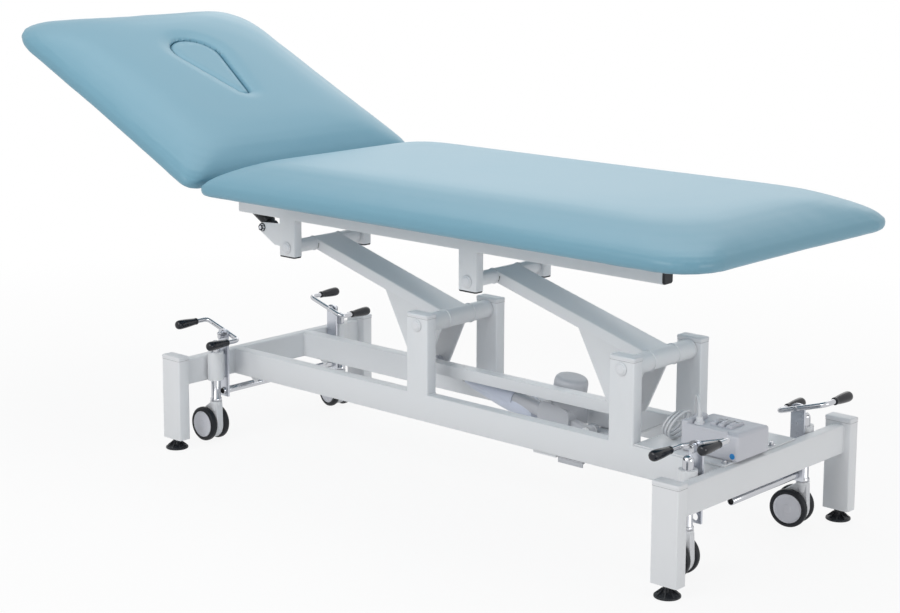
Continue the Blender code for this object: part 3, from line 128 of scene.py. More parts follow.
def makeRelief():
    # peel of sprayed paint and moulded plastic, or the pebble of embossed vinyl
    group, start, end = newGroup("fineRelief", [
        ("Peel Scale", "NodeSocketFloat", 500.0), ("Peel Amount", "NodeSocketFloat", 1.0),
        ("Pebble Scale", "NodeSocketFloat", 900.0), ("Pebble Amount", "NodeSocketFloat", 0.0)],
        [("Height", "NodeSocketFloat")])
    coord = group.nodes.new("ShaderNodeTexCoord").outputs["Object"]
    peel = mathNode(group, "MULTIPLY", noiseNode(group, coord, start.outputs["Peel Scale"], 2.0),
                    start.outputs["Peel Amount"])
    cells = group.nodes.new("ShaderNodeTexVoronoi")
    cells.feature = "SMOOTH_F1"
    group.links.new(coord, cells.inputs["Vector"])
    group.links.new(start.outputs["Pebble Scale"], cells.inputs["Scale"])
    pebble = mathNode(group, "MULTIPLY", cells.outputs["Distance"], start.outputs["Pebble Amount"])
    group.links.new(mathNode(group, "ADD", peel, pebble), end.inputs["Height"])
    return group


def makeCrevice():
    # colour pulled towards another in corners and along joints, by ambient occlusion in patches: a darker colour
    # on pale finishes, which is painted shade, and a paler one on black rubber and tyres, which is dust
    group, start, end = newGroup("creviceGrime", [
        ("Color", "NodeSocketColor", (0.8, 0.8, 0.8, 1)), ("Grime", "NodeSocketColor", (0.4, 0.4, 0.4, 1)),
        ("Reach", "NodeSocketFloat", 0.012), ("Amount", "NodeSocketFloat", 0.3)],
        [("Color", "NodeSocketColor"), ("Mask", "NodeSocketFloat")])
    shade = group.nodes.new("ShaderNodeAmbientOcclusion")
    shade.samples = 6
    group.links.new(start.outputs["Reach"], shade.inputs["Distance"])
    coord = group.nodes.new("ShaderNodeTexCoord").outputs["Object"]
    hidden = mathNode(group, "SUBTRACT", 1.0, shade.outputs["AO"])
    patch = mathNode(group, "ADD", noiseNode(group, coord, 40.0, 3.0), 0.35)
    mask = mathNode(group, "MULTIPLY", mathNode(group, "MULTIPLY", hidden, patch), start.outputs["Amount"])
    color = mixColor(group, "MIX", mask, start.outputs["Color"], start.outputs["Grime"])
    group.links.new(color, end.inputs["Color"])
    group.links.new(mask, end.inputs["Mask"])
    return group


toneGroup, reliefGroup, creviceGroup = makeTone(), makeRelief(), makeCrevice()


def placeGroup(tree, group, **values):
    n = tree.nodes.new("ShaderNodeGroup")
    n.node_tree = group
    for label, v in values.items():
        n.inputs[label.replace("_", " ")].default_value = v
    return n


def finishOf(name, look):
    mat = bpy.data.materials.new(name)
    mat.use_nodes = True
    tree = mat.node_tree
    shader = tree.nodes["Principled BSDF"]
    shader.inputs["Metallic"].default_value = look.get("metal", 0.0)
    shader.inputs["Specular IOR Level"].default_value = look.get("specular", 0.5)
    shader.inputs["Coat Weight"].default_value = look.get("coat", 0.0)
    shader.inputs["Coat Roughness"].default_value = look.get("coatRough", 0.2)
    tone = placeGroup(tree, toneGroup, Color=(*look["color"], 1), Cloud_Scale=look.get("cloud", 6.0),
                      Cloud_Amount=look.get("cloudAmount", 0.05), Speck_Scale=look.get("speck", 300.0),
                      Speck_Amount=look.get("speckAmount", 0.03), Roughness=look["rough"],
                      Gloss_Drift=look.get("drift", 0.08))
    color = tone.outputs["Color"]
    # crevice colour by ambient occlusion: painted shade on pale finishes, dust on black rubber and tyres
    if look.get("shadeAndDust", 0.0) > 0:
        shadeAndDust = placeGroup(tree, creviceGroup, Grime=(*look.get("shadeAndDustColor", (0.36, 0.36, 0.37)), 1),
                           Reach=look.get("reach", 0.012), Amount=look["shadeAndDust"])
        tree.links.new(color, shadeAndDust.inputs["Color"])
        color = shadeAndDust.outputs["Color"]
    tree.links.new(color, shader.inputs["Base Color"])
    tree.links.new(tone.outputs["Roughness"], shader.inputs["Roughness"])
    relief = placeGroup(tree, reliefGroup, Peel_Scale=look.get("peel", 500.0),
                        Peel_Amount=look.get("peelAmount", 1.0), Pebble_Scale=look.get("pebble", 900.0),
                        Pebble_Amount=look.get("pebbleAmount", 0.0))
    bump = tree.nodes.new("ShaderNodeBump")
    bump.inputs["Strength"].default_value = look.get("bump", 0.1)
    bump.inputs["Distance"].default_value = look.get("bumpDeep", 0.0004)
    tree.links.new(relief.outputs["Height"], bump.inputs["Height"])
    tree.links.new(bump.outputs["Normal"], shader.inputs["Normal"])
    return mat


# each finish's crevice amount and colour: a darker colour in crevices, painted shade, in most finishes; a paler
# one, dust, in blackRubber and tyreRubber
finishes = {
    "powderCoat": {"color": (0.85, 0.865, 0.885), "rough": 0.36, "cloud": 5.0, "cloudAmount": 0.03,
                   "speck": 900.0, "speckAmount": 0.02, "drift": 0.08, "peel": 420.0, "bump": 0.10,
                   "shadeAndDust": 0.30},
    "moldedWhite": {"color": (0.83, 0.84, 0.865), "rough": 0.42, "cloud": 14.0, "peel": 1300.0,
                    "bump": 0.12, "shadeAndDust": 0.25, "reach": 0.006},
    "hubPlastic": {"color": (0.86, 0.865, 0.92), "rough": 0.34, "cloud": 30.0, "peel": 1500.0,
                   "bump": 0.06, "shadeAndDust": 0.25, "reach": 0.004},
    "boxPlastic": {"color": (0.63, 0.64, 0.69), "rough": 0.44, "cloud": 12.0, "peel": 1100.0,
                   "bump": 0.14, "shadeAndDust": 0.3, "reach": 0.008},
    "housingGrey": {"color": (0.56, 0.575, 0.61), "rough": 0.42, "cloud": 12.0, "cloudAmount": 0.06,
                    "peel": 1000.0, "bump": 0.14, "shadeAndDust": 0.35, "reach": 0.01},
    "chromePlate": {"color": (0.54, 0.55, 0.58), "metal": 1.0, "rough": 0.09, "cloud": 40.0,
                    "cloudAmount": 0.05, "speck": 500.0, "speckAmount": 0.06, "drift": 0.10,
                    "peel": 300.0, "bump": 0.03, "shadeAndDust": 0.3, "shadeAndDustColor": (0.16, 0.16, 0.17),
                    "reach": 0.005},
    "zincPlate": {"color": (0.58, 0.60, 0.65), "metal": 1.0, "rough": 0.30, "cloud": 60.0,
                  "cloudAmount": 0.10, "speck": 700.0, "speckAmount": 0.08, "drift": 0.16, "peel": 700.0,
                  "bump": 0.08, "shadeAndDust": 0.35, "shadeAndDustColor": (0.14, 0.14, 0.15), "reach": 0.005},
    "blackRubber": {"color": (0.009, 0.011, 0.015), "rough": 0.44, "specular": 0.34, "cloud": 30.0,
                    "cloudAmount": 0.3, "speck": 600.0, "speckAmount": 0.25, "peel": 900.0, "bump": 0.16,
                    "shadeAndDust": 0.35, "shadeAndDustColor": (0.10, 0.10, 0.10), "reach": 0.005},
    "gripPlastic": {"color": (0.006, 0.008, 0.014), "rough": 0.15, "specular": 0.45, "cloud": 40.0,
                    "cloudAmount": 0.25, "peel": 800.0, "bump": 0.07, "speckAmount": 0.1},
    "tyreRubber": {"color": (0.009, 0.011, 0.015), "rough": 0.50, "specular": 0.30, "cloud": 40.0,
                   "cloudAmount": 0.3, "speck": 900.0, "speckAmount": 0.25, "peel": 1200.0, "bump": 0.2,
                   "shadeAndDust": 0.4, "shadeAndDustColor": (0.12, 0.12, 0.12), "reach": 0.004},
    "blueVinyl": {"color": (0.183, 0.378, 0.486), "rough": 0.37, "specular": 0.42, "cloud": 2.6,
                  "cloudAmount": 0.05, "speck": 420.0, "speckAmount": 0.04, "drift": 0.07, "peel": 240.0,
                  "peelAmount": 0.5, "pebble": 760.0, "pebbleAmount": 0.8, "bump": 0.16,
                  "bumpDeep": 0.0003, "shadeAndDust": 0.35, "shadeAndDustColor": (0.07, 0.17, 0.23), "reach": 0.008},
    "leadJacket": {"color": (0.74, 0.75, 0.77), "rough": 0.42, "cloud": 60.0, "peel": 1200.0, "bump": 0.1,
                   "shadeAndDust": 0.3, "reach": 0.004},
    "coverLavender": {"color": (0.66, 0.705, 0.82), "rough": 0.38, "cloud": 12.0, "peel": 1000.0,
                      "bump": 0.1, "shadeAndDust": 0.3, "reach": 0.008},
    "jointLine": {"color": (0.40, 0.40, 0.42), "rough": 0.6, "cloud": 30.0, "peel": 700.0},
    "blueCap": {"color": (0.02, 0.25, 0.62), "rough": 0.32, "cloud": 60.0, "peel": 900.0, "bump": 0.05},
    # near-black sheets painted as the shade inside holes and open ends
    "darkGap": {"color": (0.012, 0.012, 0.014), "rough": 0.7, "cloud": 40.0, "cloudAmount": 0.2,
                "peel": 700.0},
}
mats = {name: finishOf(name, look) for name, look in finishes.items()}
print("finishes ready:", len(mats))


# making and placing pieces

def solidMesh(name):
    bm = bmesh.new()
    bm.from_mesh(nodes[name].data)
    bmesh.ops.remove_doubles(bm, verts=bm.verts, dist=0.00002)
    return bm


def mergedCopy(name):
    # a solid's mesh with its triangles joined, so that round forms shade smoothly
    bm = solidMesh(name)
    bmesh.ops.dissolve_limit(bm, angle_limit=math.radians(0.6), verts=bm.verts, edges=bm.edges)
    return bm


def objectFrom(bm, name):
    mesh = bpy.data.meshes.new(name)
    bm.to_mesh(mesh)
    bm.free()
    ob = bpy.data.objects.new(name, mesh)
    scene.collection.objects.link(ob)
    return ob


def bakedMesh(ob):
    # what a curve or modifier makes, as a mesh of its own; the object goes
    bpy.context.view_layer.update()
    mesh = bpy.data.meshes.new_from_object(ob.evaluated_get(bpy.context.evaluated_depsgraph_get()))
    bpy.data.objects.remove(ob)
    return mesh


def newPiece(name, bm, finish, body, sharp=34.0, stands=(), soften=0.0):
    ob = objectFrom(bm, name)
    mesh = ob.data
    mesh.shade_smooth()
    mesh.set_sharp_from_angle(angle=math.radians(sharp))
    for f in ([finish] if isinstance(finish, str) else finish):
        mesh.materials.append(mats[f])
    if soften > 0:
        mod = ob.modifiers.new("softEdges", "BEVEL")
        mod.width = soften
        mod.segments = 2
        mod.limit_method = "ANGLE"
        mod.angle_limit = math.radians(38)
        mod.harden_normals = False
    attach(ob, body)
    if stands:
        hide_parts(*stands)
    return ob


def lathe(bm, profile, at, axis, steps=48):
    # spins (radius, along) pairs about the line through at
    at, axis = Vector(at), Vector(axis).normalized()
    side = axis.orthogonal().normalized()
    before = set(bm.verts)
    rim = [bm.verts.new(at + side * r + axis * h) for r, h in profile]
    line = [bm.edges.new(pair) for pair in zip(rim, rim[1:])]
    bmesh.ops.spin(bm, geom=rim + line, cent=at, axis=axis, angle=2 * math.pi, steps=steps, use_merge=True)
    bmesh.ops.remove_doubles(bm, verts=[v for v in bm.verts if v not in before], dist=0.000004)


def block(bm, low, high, soft, segments=3):
    low, high = Vector(low), Vector(high)
    place = Matrix.Translation((low + high) / 2) @ Matrix.Diagonal((*(high - low), 1))
    made = bmesh.ops.create_cube(bm, size=1.0, matrix=place)["verts"]
    edges = list({e for v in made for e in v.link_edges})
    bmesh.ops.bevel(bm, geom=edges, offset=soft, offset_type="OFFSET", affect="EDGES", segments=segments,
                    profile=0.5, material=-1, clamp_overlap=True)


def plate(bm, outline, push):
    # a flat face from a few points, extruded by a vector
    face = bm.faces.new([bm.verts.new(p) for p in outline])
    moved = bmesh.ops.extrude_face_region(bm, geom=[face])["geom"]
    bmesh.ops.translate(bm, verts=[g for g in moved if isinstance(g, bmesh.types.BMVert)], vec=push)


def roundCurve(name, points, radius, sides, cyclic=False, swell=None):
    # a round rod through the points; swell scales its width point by point
    curve = bpy.data.curves.new(name, "CURVE")
    curve.dimensions = "3D"
    curve.bevel_depth = radius
    curve.bevel_resolution = sides
    curve.use_fill_caps = True
    spline = curve.splines.new("POLY")
    spline.points.add(len(points) - 1)
    for i, (q, p) in enumerate(zip(spline.points, points)):
        q.co = (*p, 1)
        q.radius = swell[i] if swell else 1.0
    spline.use_cyclic_u = cyclic
    ob = bpy.data.objects.new(name, curve)
    scene.collection.objects.link(ob)
    return ob


def rodAlong(bm, points, radius, sides, cyclic=False, swell=None):
    # such a rod, taken over as mesh
    ob = roundCurve("rod", points, radius, sides, cyclic, swell)
    curve = ob.data
    mesh = bakedMesh(ob)
    bm.from_mesh(mesh)
    bpy.data.curves.remove(curve)
    bpy.data.meshes.remove(mesh)


def bead(bm, a, b, r=0.0015):
    # a rippled run of weld
    a, b = Vector(a), Vector(b)
    count = max(4, int((b - a).length / 0.0024))
    swell = [1.0 + 0.15 * (-1) ** k for k in range(count + 1)]
    swell[0] = swell[-1] = 0.5
    rodAlong(bm, [a.lerp(b, k / count) for k in range(count + 1)], r, 2, False, swell)


def across(axis):
    u = axis.orthogonal().normalized()
    return u, axis.cross(u)


def ringAround(bm, at, axis, ring, r, steps):
    at, axis = Vector(at), Vector(axis).normalized()
    u, v = across(axis)
    turns = [2 * math.pi * k / steps for k in range(steps)]
    rodAlong(bm, [at + (u * math.cos(a) + v * math.sin(a)) * ring for a in turns], r, 2, True)


def boxRing(bm, x, y, z, wide, deep, corner, r):
    # a thin line round a square tube
    line = []
    for k, (sx, sy) in enumerate(((1, 1), (-1, 1), (-1, -1), (1, -1))):
        for i in range(5):
            a = math.pi / 2 * (k + i / 4)
            line.append((x + sx * (wide / 2 - corner) + corner * math.cos(a),
                         y + sy * (deep / 2 - corner) + corner * math.sin(a), z))
    rodAlong(bm, line, r, 2, True)


def hexHead(bm, at, axis, r, high, washer=0.0):
    # a bolt head with a rounded crown on a washer, standing along the axis
    at, axis = Vector(at), Vector(axis).normalized()
    u, v = across(axis)
    if washer > 0:
        thick = 0.0013
        lathe(bm, [(0, 0), (washer * 0.97, 0), (washer, 0.0003), (washer, 0.0010), (washer * 0.96, thick),
                   (0, thick)], at, axis, 32)
        at = at + axis * thick
    corners = [at + (u * math.cos(math.pi * k / 3) + v * math.sin(math.pi * k / 3)) * r for k in range(6)]
    plate(bm, corners, axis * high * 0.86)
    lathe(bm, [(r * 0.86, high * 0.84), (r * 0.80, high * 0.93), (r * 0.60, high), (0, high)], at, axis, 24)


def closeUp(bm):
    bmesh.ops.remove_doubles(bm, verts=bm.verts, dist=0.000004)
    bmesh.ops.recalc_face_normals(bm, faces=bm.faces)
    return bm


bodyOf = {n: b for b, names in frame["record"]["behaviour"]["bodies"].items() for n in names}


def jointPoint(name):
    return Vector(joints[name]["pos_m"])


def jointAxis(name):
    return Vector(joints[name]["axis"]).normalized()


# camera, floor and light

view = {"eye": (2.8634, -3.0421, 1.2848), "yaw": 0.7337, "pitch": -0.1649, "roll": 0.0038,
        "lens": 77.30, "shiftX": -0.00723, "shiftY": -0.11686}
yaw, pitch, roll = view["yaw"], view["pitch"], view["roll"]
ahead = Vector((-math.sin(yaw) * math.cos(pitch), math.cos(yaw) * math.cos(pitch), math.sin(pitch)))
right = Vector((math.cos(yaw), math.sin(yaw), 0))
upward = right.cross(ahead)
rightTurned = right * math.cos(roll) + upward * math.sin(roll)
upTurned = upward * math.cos(roll) - right * math.sin(roll)
turn = Matrix((rightTurned, upTurned, -ahead)).transposed().to_4x4()
camera = bpy.data.cameras.new("photoView")
camera.sensor_width = 36.0
camera.sensor_fit = "HORIZONTAL"
camera.lens = view["lens"]
camera.shift_x = view["shiftX"]
camera.shift_y = view["shiftY"]
camera.clip_end = 60.0
cameraOb = bpy.data.objects.new("photoView", camera)
scene.collection.objects.link(cameraOb)
cameraOb.matrix_world = Matrix.Translation(view["eye"]) @ turn
scene.camera = cameraOb
scene.view_settings.view_transform = "Standard"

studio = {"floorSize": 14.0, "floorColor": (0.86, 0.865, 0.87), "glowNear": 0.90, "glowFar": 1.0,
          "nearRadius": 1.2, "farRadius": 2.6, "sky": 0.30, "key": 74.0, "fill": 48.0, "rim": 66.0,
          "back": 17.0, "floorDrop": 0.0006}


def seenDirectly(tree):
    path = tree.nodes.new("ShaderNodeLightPath")
    total = mathNode(tree, "ADD", path.outputs["Is Camera Ray"], path.outputs["Is Glossy Ray"])
    total = mathNode(tree, "ADD", total, path.outputs["Is Transmission Ray"])
    return mathNode(tree, "MINIMUM", total, 1.0)


bm = bmesh.new()
bmesh.ops.create_grid(bm, x_segments=1, y_segments=1, size=studio["floorSize"])
bmesh.ops.translate(bm, verts=bm.verts, vec=(0, 0, -studio["floorDrop"]))
floor = objectFrom(bm, "studioFloor")
floorMat = bpy.data.materials.new("studioFloor")
floorMat.use_nodes = True
tree = floorMat.node_tree
plain = tree.nodes["Principled BSDF"]
plain.inputs["Base Color"].default_value = (*studio["floorColor"], 1)
plain.inputs["Roughness"].default_value = 0.9
plain.inputs["Specular IOR Level"].default_value = 0.0
glow = tree.nodes.new("ShaderNodeEmission")
glow.inputs["Color"].default_value = (1, 1, 1, 1)
blendGlow = tree.nodes.new("ShaderNodeMixShader")
away = tree.nodes.new("ShaderNodeVectorMath")
away.operation = "LENGTH"
tree.links.new(tree.nodes.new("ShaderNodeTexCoord").outputs["Object"], away.inputs[0])
fade = tree.nodes.new("ShaderNodeMapRange")
for label, v in (("From Min", studio["nearRadius"]), ("From Max", studio["farRadius"]),
                 ("To Min", studio["glowNear"]), ("To Max", studio["glowFar"])):
    fade.inputs[label].default_value = v
tree.links.new(away.outputs["Value"], fade.inputs["Value"])
tree.links.new(mathNode(tree, "MULTIPLY", seenDirectly(tree), fade.outputs["Result"]), blendGlow.inputs[0])
tree.links.new(plain.outputs[0], blendGlow.inputs[1])
tree.links.new(glow.outputs[0], blendGlow.inputs[2])
tree.links.new(blendGlow.outputs[0], tree.nodes["Material Output"].inputs["Surface"])
floor.data.materials.append(floorMat)

world = bpy.data.worlds.new("studioSky")
scene.world = world
world.use_nodes = True
tree = world.node_tree
background = tree.nodes["Background"]
background.inputs["Color"].default_value = (1, 1, 1, 1)
lift = mathNode(tree, "MULTIPLY", seenDirectly(tree), 1.0 - studio["sky"])
tree.links.new(mathNode(tree, "ADD", lift, studio["sky"]), background.inputs["Strength"])


def softbox(name, place, aim, size, power):
    lamp = bpy.data.lights.new(name, "AREA")
    lamp.shape = "RECTANGLE"
    lamp.size, lamp.size_y = size
    lamp.energy = power
    ob = bpy.data.objects.new(name, lamp)
    scene.collection.objects.link(ob)
    ob.location = place
    ob.rotation_euler = (Vector(aim) - Vector(place)).to_track_quat("-Z", "Y").to_euler()
    ob.visible_camera = False


softbox("keyLight", (0.2, -3.6, 2.6), (0.1, 0, 0.5), (3.2, 2.0), studio["key"])
softbox("overLight", (-0.4, 0.6, 3.6), (0.0, 0, 0.5), (3.6, 2.4), studio["fill"])
softbox("rimLight", (6.0, 0.2, 1.3), (0.2, 0, 0.4), (3.0, 2.0), studio["rim"])
softbox("backLight", (-1.9, 3.4, 2.3), (0.3, 0, 0.6), (3.6, 1.8), studio["back"])
print("camera, floor and light set")


# motor lead, on the route of its solid

middleX = jointPoint("head_tilt").x + 0.556   # the hinge stands 556 mm headwards of the base's middle
lead = {"radius": 0.0026, "length": 1.027, "points": 260, "turns": 3, "glandAt": (0.595, -0.0705),
        "glandTop": 0.2739, "coilAt": (0.535, -0.040, 0.2394), "coilSize": (0.016, 0.036, 0.030),
        "strapTop": 0.1437, "anchor": 0.258}


def smoothLine(points, per=10):
    pts = np.array(points, dtype=float)
    full = np.vstack([2 * pts[0] - pts[1], pts, 2 * pts[-1] - pts[-2]])
    out = []
    for i in range(1, len(full) - 2):
        p0, p1, p2, p3 = full[i - 1:i + 3]
        for k in range(per):
            u = k / per
            out.append(0.5 * (2 * p1 + (p2 - p0) * u + (2 * p0 - 5 * p1 + 4 * p2 - p3) * u * u
                              + (3 * p1 - p0 - 3 * p2 + p3) * u ** 3))
    out.append(pts[-1])
    return np.array(out)


def leadRoute():
    (gx, gy), top = lead["glandAt"], lead["glandTop"]
    cx, cy, cz = lead["coilAt"]
    lean, deep, tall = lead["coilSize"]
    loops = []
    for i in range(12 * lead["turns"] + 1):
        turns = i / 12
        a, size = 2 * math.pi * turns, 1.0 - 0.09 * turns
        loops.append((cx - lean * math.sin(a) * size - 0.010 * turns, cy + deep * math.cos(a) * size,
                      cz - tall * math.sin(a) * size))
    (x0, y0, z0), (x1, y1, z1) = loops[0], loops[-1]
    rise = [(gx + x, gy + y, top + z) for x, y, z in (
        (0, 0, 0), (0, 0, 0.005), (-0.0006, 0.0007, 0.0105), (-0.0045, 0.005, 0.0205),
        (-0.012, 0.0132, 0.0275), (-0.0225, 0.0245, 0.030), (-0.0345, 0.0385, 0.0265),
        (-0.0455, 0.0515, 0.0165))]
    rise += [(x0 + 0.0065, y0 - 0.0045, z0 + 0.032), (x0 + 0.003, y0 - 0.001, z0 + 0.016)]
    run = [(x1 - 0.0085, y1 + 0.0012, z1 - 0.0115), (x1 - 0.0175, y1 + 0.006, z1 - 0.020),
           (x1 - 0.027, y1 + 0.0165, z1 - 0.0255), (x1 - 0.038, y1 + 0.031, z1 - 0.0285)]
    r = lead["radius"]
    run += [(lead["anchor"] + x, y, lead["strapTop"] + z) for x, y, z in (
        (0.194, 0.0325, 0.0653), (0.180, 0.0455, 0.0613), (0.162, 0.0535, 0.0538), (0.140, 0.0575, 0.0433),
        (0.112, 0.058, 0.0288), (0.082, 0.058, 0.0153), (0.054, 0.058, 0.0068), (0.030, 0.058, r + 0.0009),
        (0.0, 0.058, r + 0.0006), (-0.016, 0.058, r + 0.0006))]
    fine = smoothLine(rise + loops + run)
    far = np.concatenate([[0.0], np.cumsum(np.linalg.norm(np.diff(fine, axis=0), axis=1))])
    even = np.linspace(0.0, far[-1], lead["points"])
    line = np.stack([np.interp(even, far, fine[:, k]) for k in range(3)], axis=1) + (middleX, 0, 0)
    return [tuple(p) for p in line.tolist()]


route = leadRoute()
motorLead = roundCurve("motorLead", route, lead["radius"], 4)
motorLead.data.materials.append(mats["leadJacket"])
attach(motorLead, "base")
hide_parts("motor_lead")

# tapered strain relief at the gland, a tie round the coil and the block that the lead ends in
bm = bmesh.new()
tail = route[:5]
rodAlong(bm, tail, lead["radius"], 4, False, [1.75, 1.6, 1.45, 1.3, 1.15])
for k in (1, 2, 3):
    along = Vector(tail[k]) - Vector(tail[k - 1])
    ringAround(bm, tail[k], along, lead["radius"] * (1.7 - 0.17 * k), 0.0005, 24)
newPiece("lead_strain_relief", closeUp(bm), "leadJacket", "base", 40)
bm = bmesh.new()
cx, cy, cz = lead["coilAt"]
wide, deep = 0.0330 / 2, 0.0036
band, bandPoints = [], 28
for k in range(bandPoints):
    a = 2 * math.pi * k / bandPoints
    u, v = (wide - deep) * (1 if math.cos(a) > 0 else -1) + deep * math.cos(a), deep * math.sin(a)
    band.append((middleX + cx - 0.0150 + u, cy + 0.0272 + u * 0.31 + v, cz + 0.0006 + u * 0.12))
rodAlong(bm, band, 0.0011, 3, True)
block(bm, (middleX + cx, cy + 0.0325, cz - 0.0015), (middleX + cx + 0.0055, cy + 0.0375, cz + 0.0035),
      0.0008, 2)
newPiece("lead_coil_tie", closeUp(bm), "moldedWhite", "base", 40)
bm = bmesh.new()
ax, top = middleX + lead["anchor"], lead["strapTop"]
block(bm, (ax - 0.0330, 0.0460, top + 0.0002), (ax - 0.0110, 0.0700, top + 0.0150), 0.0018, 3)
block(bm, (ax - 0.0300, 0.0485, top + 0.0140), (ax - 0.0140, 0.0675, top + 0.0172), 0.0010, 2)
lathe(bm, [(0.0030, 0.0), (0.0052, 0.0), (0.0050, 0.0030), (0.0040, 0.0080), (0.0031, 0.0100),
           (0.0030, 0.0100)], (ax - 0.0112, 0.058, top + lead["radius"] + 0.0006), (1, 0, 0), 24)
newPiece("lead_end_block", closeUp(bm), "housingGrey", "base", 36)
print("motor lead laid,", len(route), "points")


# painted frame and other rigid solids that keep their shape

paintedFrame = {"soften": 0.0009,
                "nodes": ["near_side_frame", "far_side_frame", "head_lift_arm", "foot_lift_arm", "link_bar",
                          "actuator_anchor", "top_frame", "head_frame"]}
for name in paintedFrame["nodes"]:
    newPiece(name + "_coat", mergedCopy(name), "powderCoat", bodyOf[name], 36, [name],
             paintedFrame["soften"])

# the end frames carry the pedal plates, which are bare plated steel
pedalPlate = {"castorX": 0.6615, "castorY": 0.200, "inset": 0.0255, "halfWide": 0.0157, "halfThick": 0.0027}
for name in ("head_end_frame", "foot_end_frame"):
    bm = mergedCopy(name)
    for f in bm.faces:
        flat = [(abs(abs(v.co.x - middleX) - pedalPlate["castorX"]),
                 abs(abs(v.co.y) - pedalPlate["castorY"] + pedalPlate["inset"])) for v in f.verts]
        if all(x < pedalPlate["halfWide"] and y < pedalPlate["halfThick"] for x, y in flat):
            f.material_index = 1
    newPiece(name + "_coat", bm, ["powderCoat", "zincPlate"], "base", 36, [name], paintedFrame["soften"])

for name, finish, slot in (
        ("actuator_body", "housingGrey", "grey_housing"),
        ("actuator_rod", "zincPlate", "zinc_steel"), ("gas_spring_body", "blackRubber", "black_plastic"),
        ("gas_spring_rod", "chromePlate", "chrome")):
    newPiece(name + "_skin", mergedCopy(name), finish, bodyOf[name], 36, [name], 0.0005)
for name in nodes:
    if name.endswith("_plug") and name != "face_plug":
        newPiece(name + "_skin", mergedCopy(name), "blackRubber", bodyOf[name], 36, [name], 0.0005)

# chrome cross shafts, open at the near end
shaft = {"r": 0.008, "bore": 0.0064, "deep": 0.03}
for name in ("head_cross_shaft", "foot_cross_shaft"):
    low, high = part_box(name)
    at = ((low.x + high.x) / 2, 0, (low.z + high.z) / 2)
    r, b, y0, y1 = shaft["r"], shaft["bore"], low.y, high.y
    bm = bmesh.new()
    lathe(bm, [(0, y0 + shaft["deep"]), (b, y0 + shaft["deep"]), (b, y0 + 0.0004), (b + 0.0004, y0),
               (r - 0.0004, y0), (r, y0 + 0.0005), (r, y1 - 0.0006), (r - 0.0006, y1), (0, y1)],
          at, (0, 1, 0), 36)
    newPiece(name + "_skin", closeUp(bm), "chromePlate", bodyOf[name], 40, [name])
    # a near-black disc a few mm inside the bore, painted shade of the hole
    bm = bmesh.new()
    lathe(bm, [(0, y0 + 0.0030), (b - 0.0006, y0 + 0.0030), (b - 0.0002, y0 + 0.0036),
               (b - 0.0002, y0 + 0.006), (0, y0 + 0.006)], at, (0, 1, 0), 24)
    newPiece(name + "_bore_shade", closeUp(bm), "darkGap", bodyOf[name], 40)

# pressed-in caps on the legs and posts, each over a fine joint line
tube = {"legX": 0.689, "legY": 0.2955, "legSize": (0.060, 0.030), "legTop": 0.2172,
        "postX": (-0.0956, 0.4481), "postY": 0.112, "postSize": (0.060, 0.0296), "postTop": 0.3767,
        "round": 0.004, "capHigh": 0.0086}
capSpots = [(sx * tube["legX"], sy * tube["legY"], tube["legTop"], tube["legSize"])
            for sx in (-1, 1) for sy in (-1, 1)]
capSpots += [(x, sy * tube["postY"], tube["postTop"], tube["postSize"])
             for x in tube["postX"] for sy in (-1, 1)]
caps, lines = bmesh.new(), bmesh.new()
for x, y, top, (wide, deep) in capSpots:
    low, over = top - tube["capHigh"], 0.0005
    halfX, halfY, high = wide / 2 + over, deep / 2 + over, top + 0.0006
    block(caps, (middleX + x - halfX, y - halfY, low), (middleX + x + halfX, y + halfY, high), 0.0036, 4)
    boxRing(lines, middleX + x, y, low - 0.0003, wide + 0.0003, deep + 0.0003, tube["round"], 0.00032)
newPiece("tube_caps", closeUp(caps), "moldedWhite", "base", 44)
newPiece("tube_cap_lines", closeUp(lines), "jointLine", "base", 60)

# runs of weld on the base
weld = {"railOut": 0.127, "railIn": 0.097, "railTop": 0.204, "railLow": 0.144, "barIn": 0.679,
        "barOut": 0.7035, "legIn": 0.2805, "postHalf": 0.0303}
bm = bmesh.new()
for t in (-1, 1):
    railOut, railIn, legIn = t * weld["railOut"], t * weld["railIn"], t * weld["legIn"]
    low, high = weld["railLow"], weld["railTop"]
    for x in tube["postX"]:
        for side in (-1, 1):
            edge = middleX + x + side * weld["postHalf"]
            bead(bm, (edge, railOut - t * 0.003, high), (edge, railIn + t * 0.002, high))
        bead(bm, (middleX + x - 0.028, railIn, high), (middleX + x + 0.028, railIn, high))
    for side in (-1, 1):
        inner, outer = middleX + side * weld["barIn"], middleX + side * weld["barOut"]
        for y in (railOut, railIn):
            bead(bm, (inner, y, low + 0.004), (inner, y, high - 0.005))
        bead(bm, (outer, legIn, low + 0.003), (outer, legIn, high - 0.003), 0.0019)
        for z in (low, high):
            bead(bm, (inner + side * 0.003, legIn, z), (outer - side * 0.003, legIn, z), 0.0017)
newPiece("base_welds", closeUp(bm), "powderCoat", "base", 50)

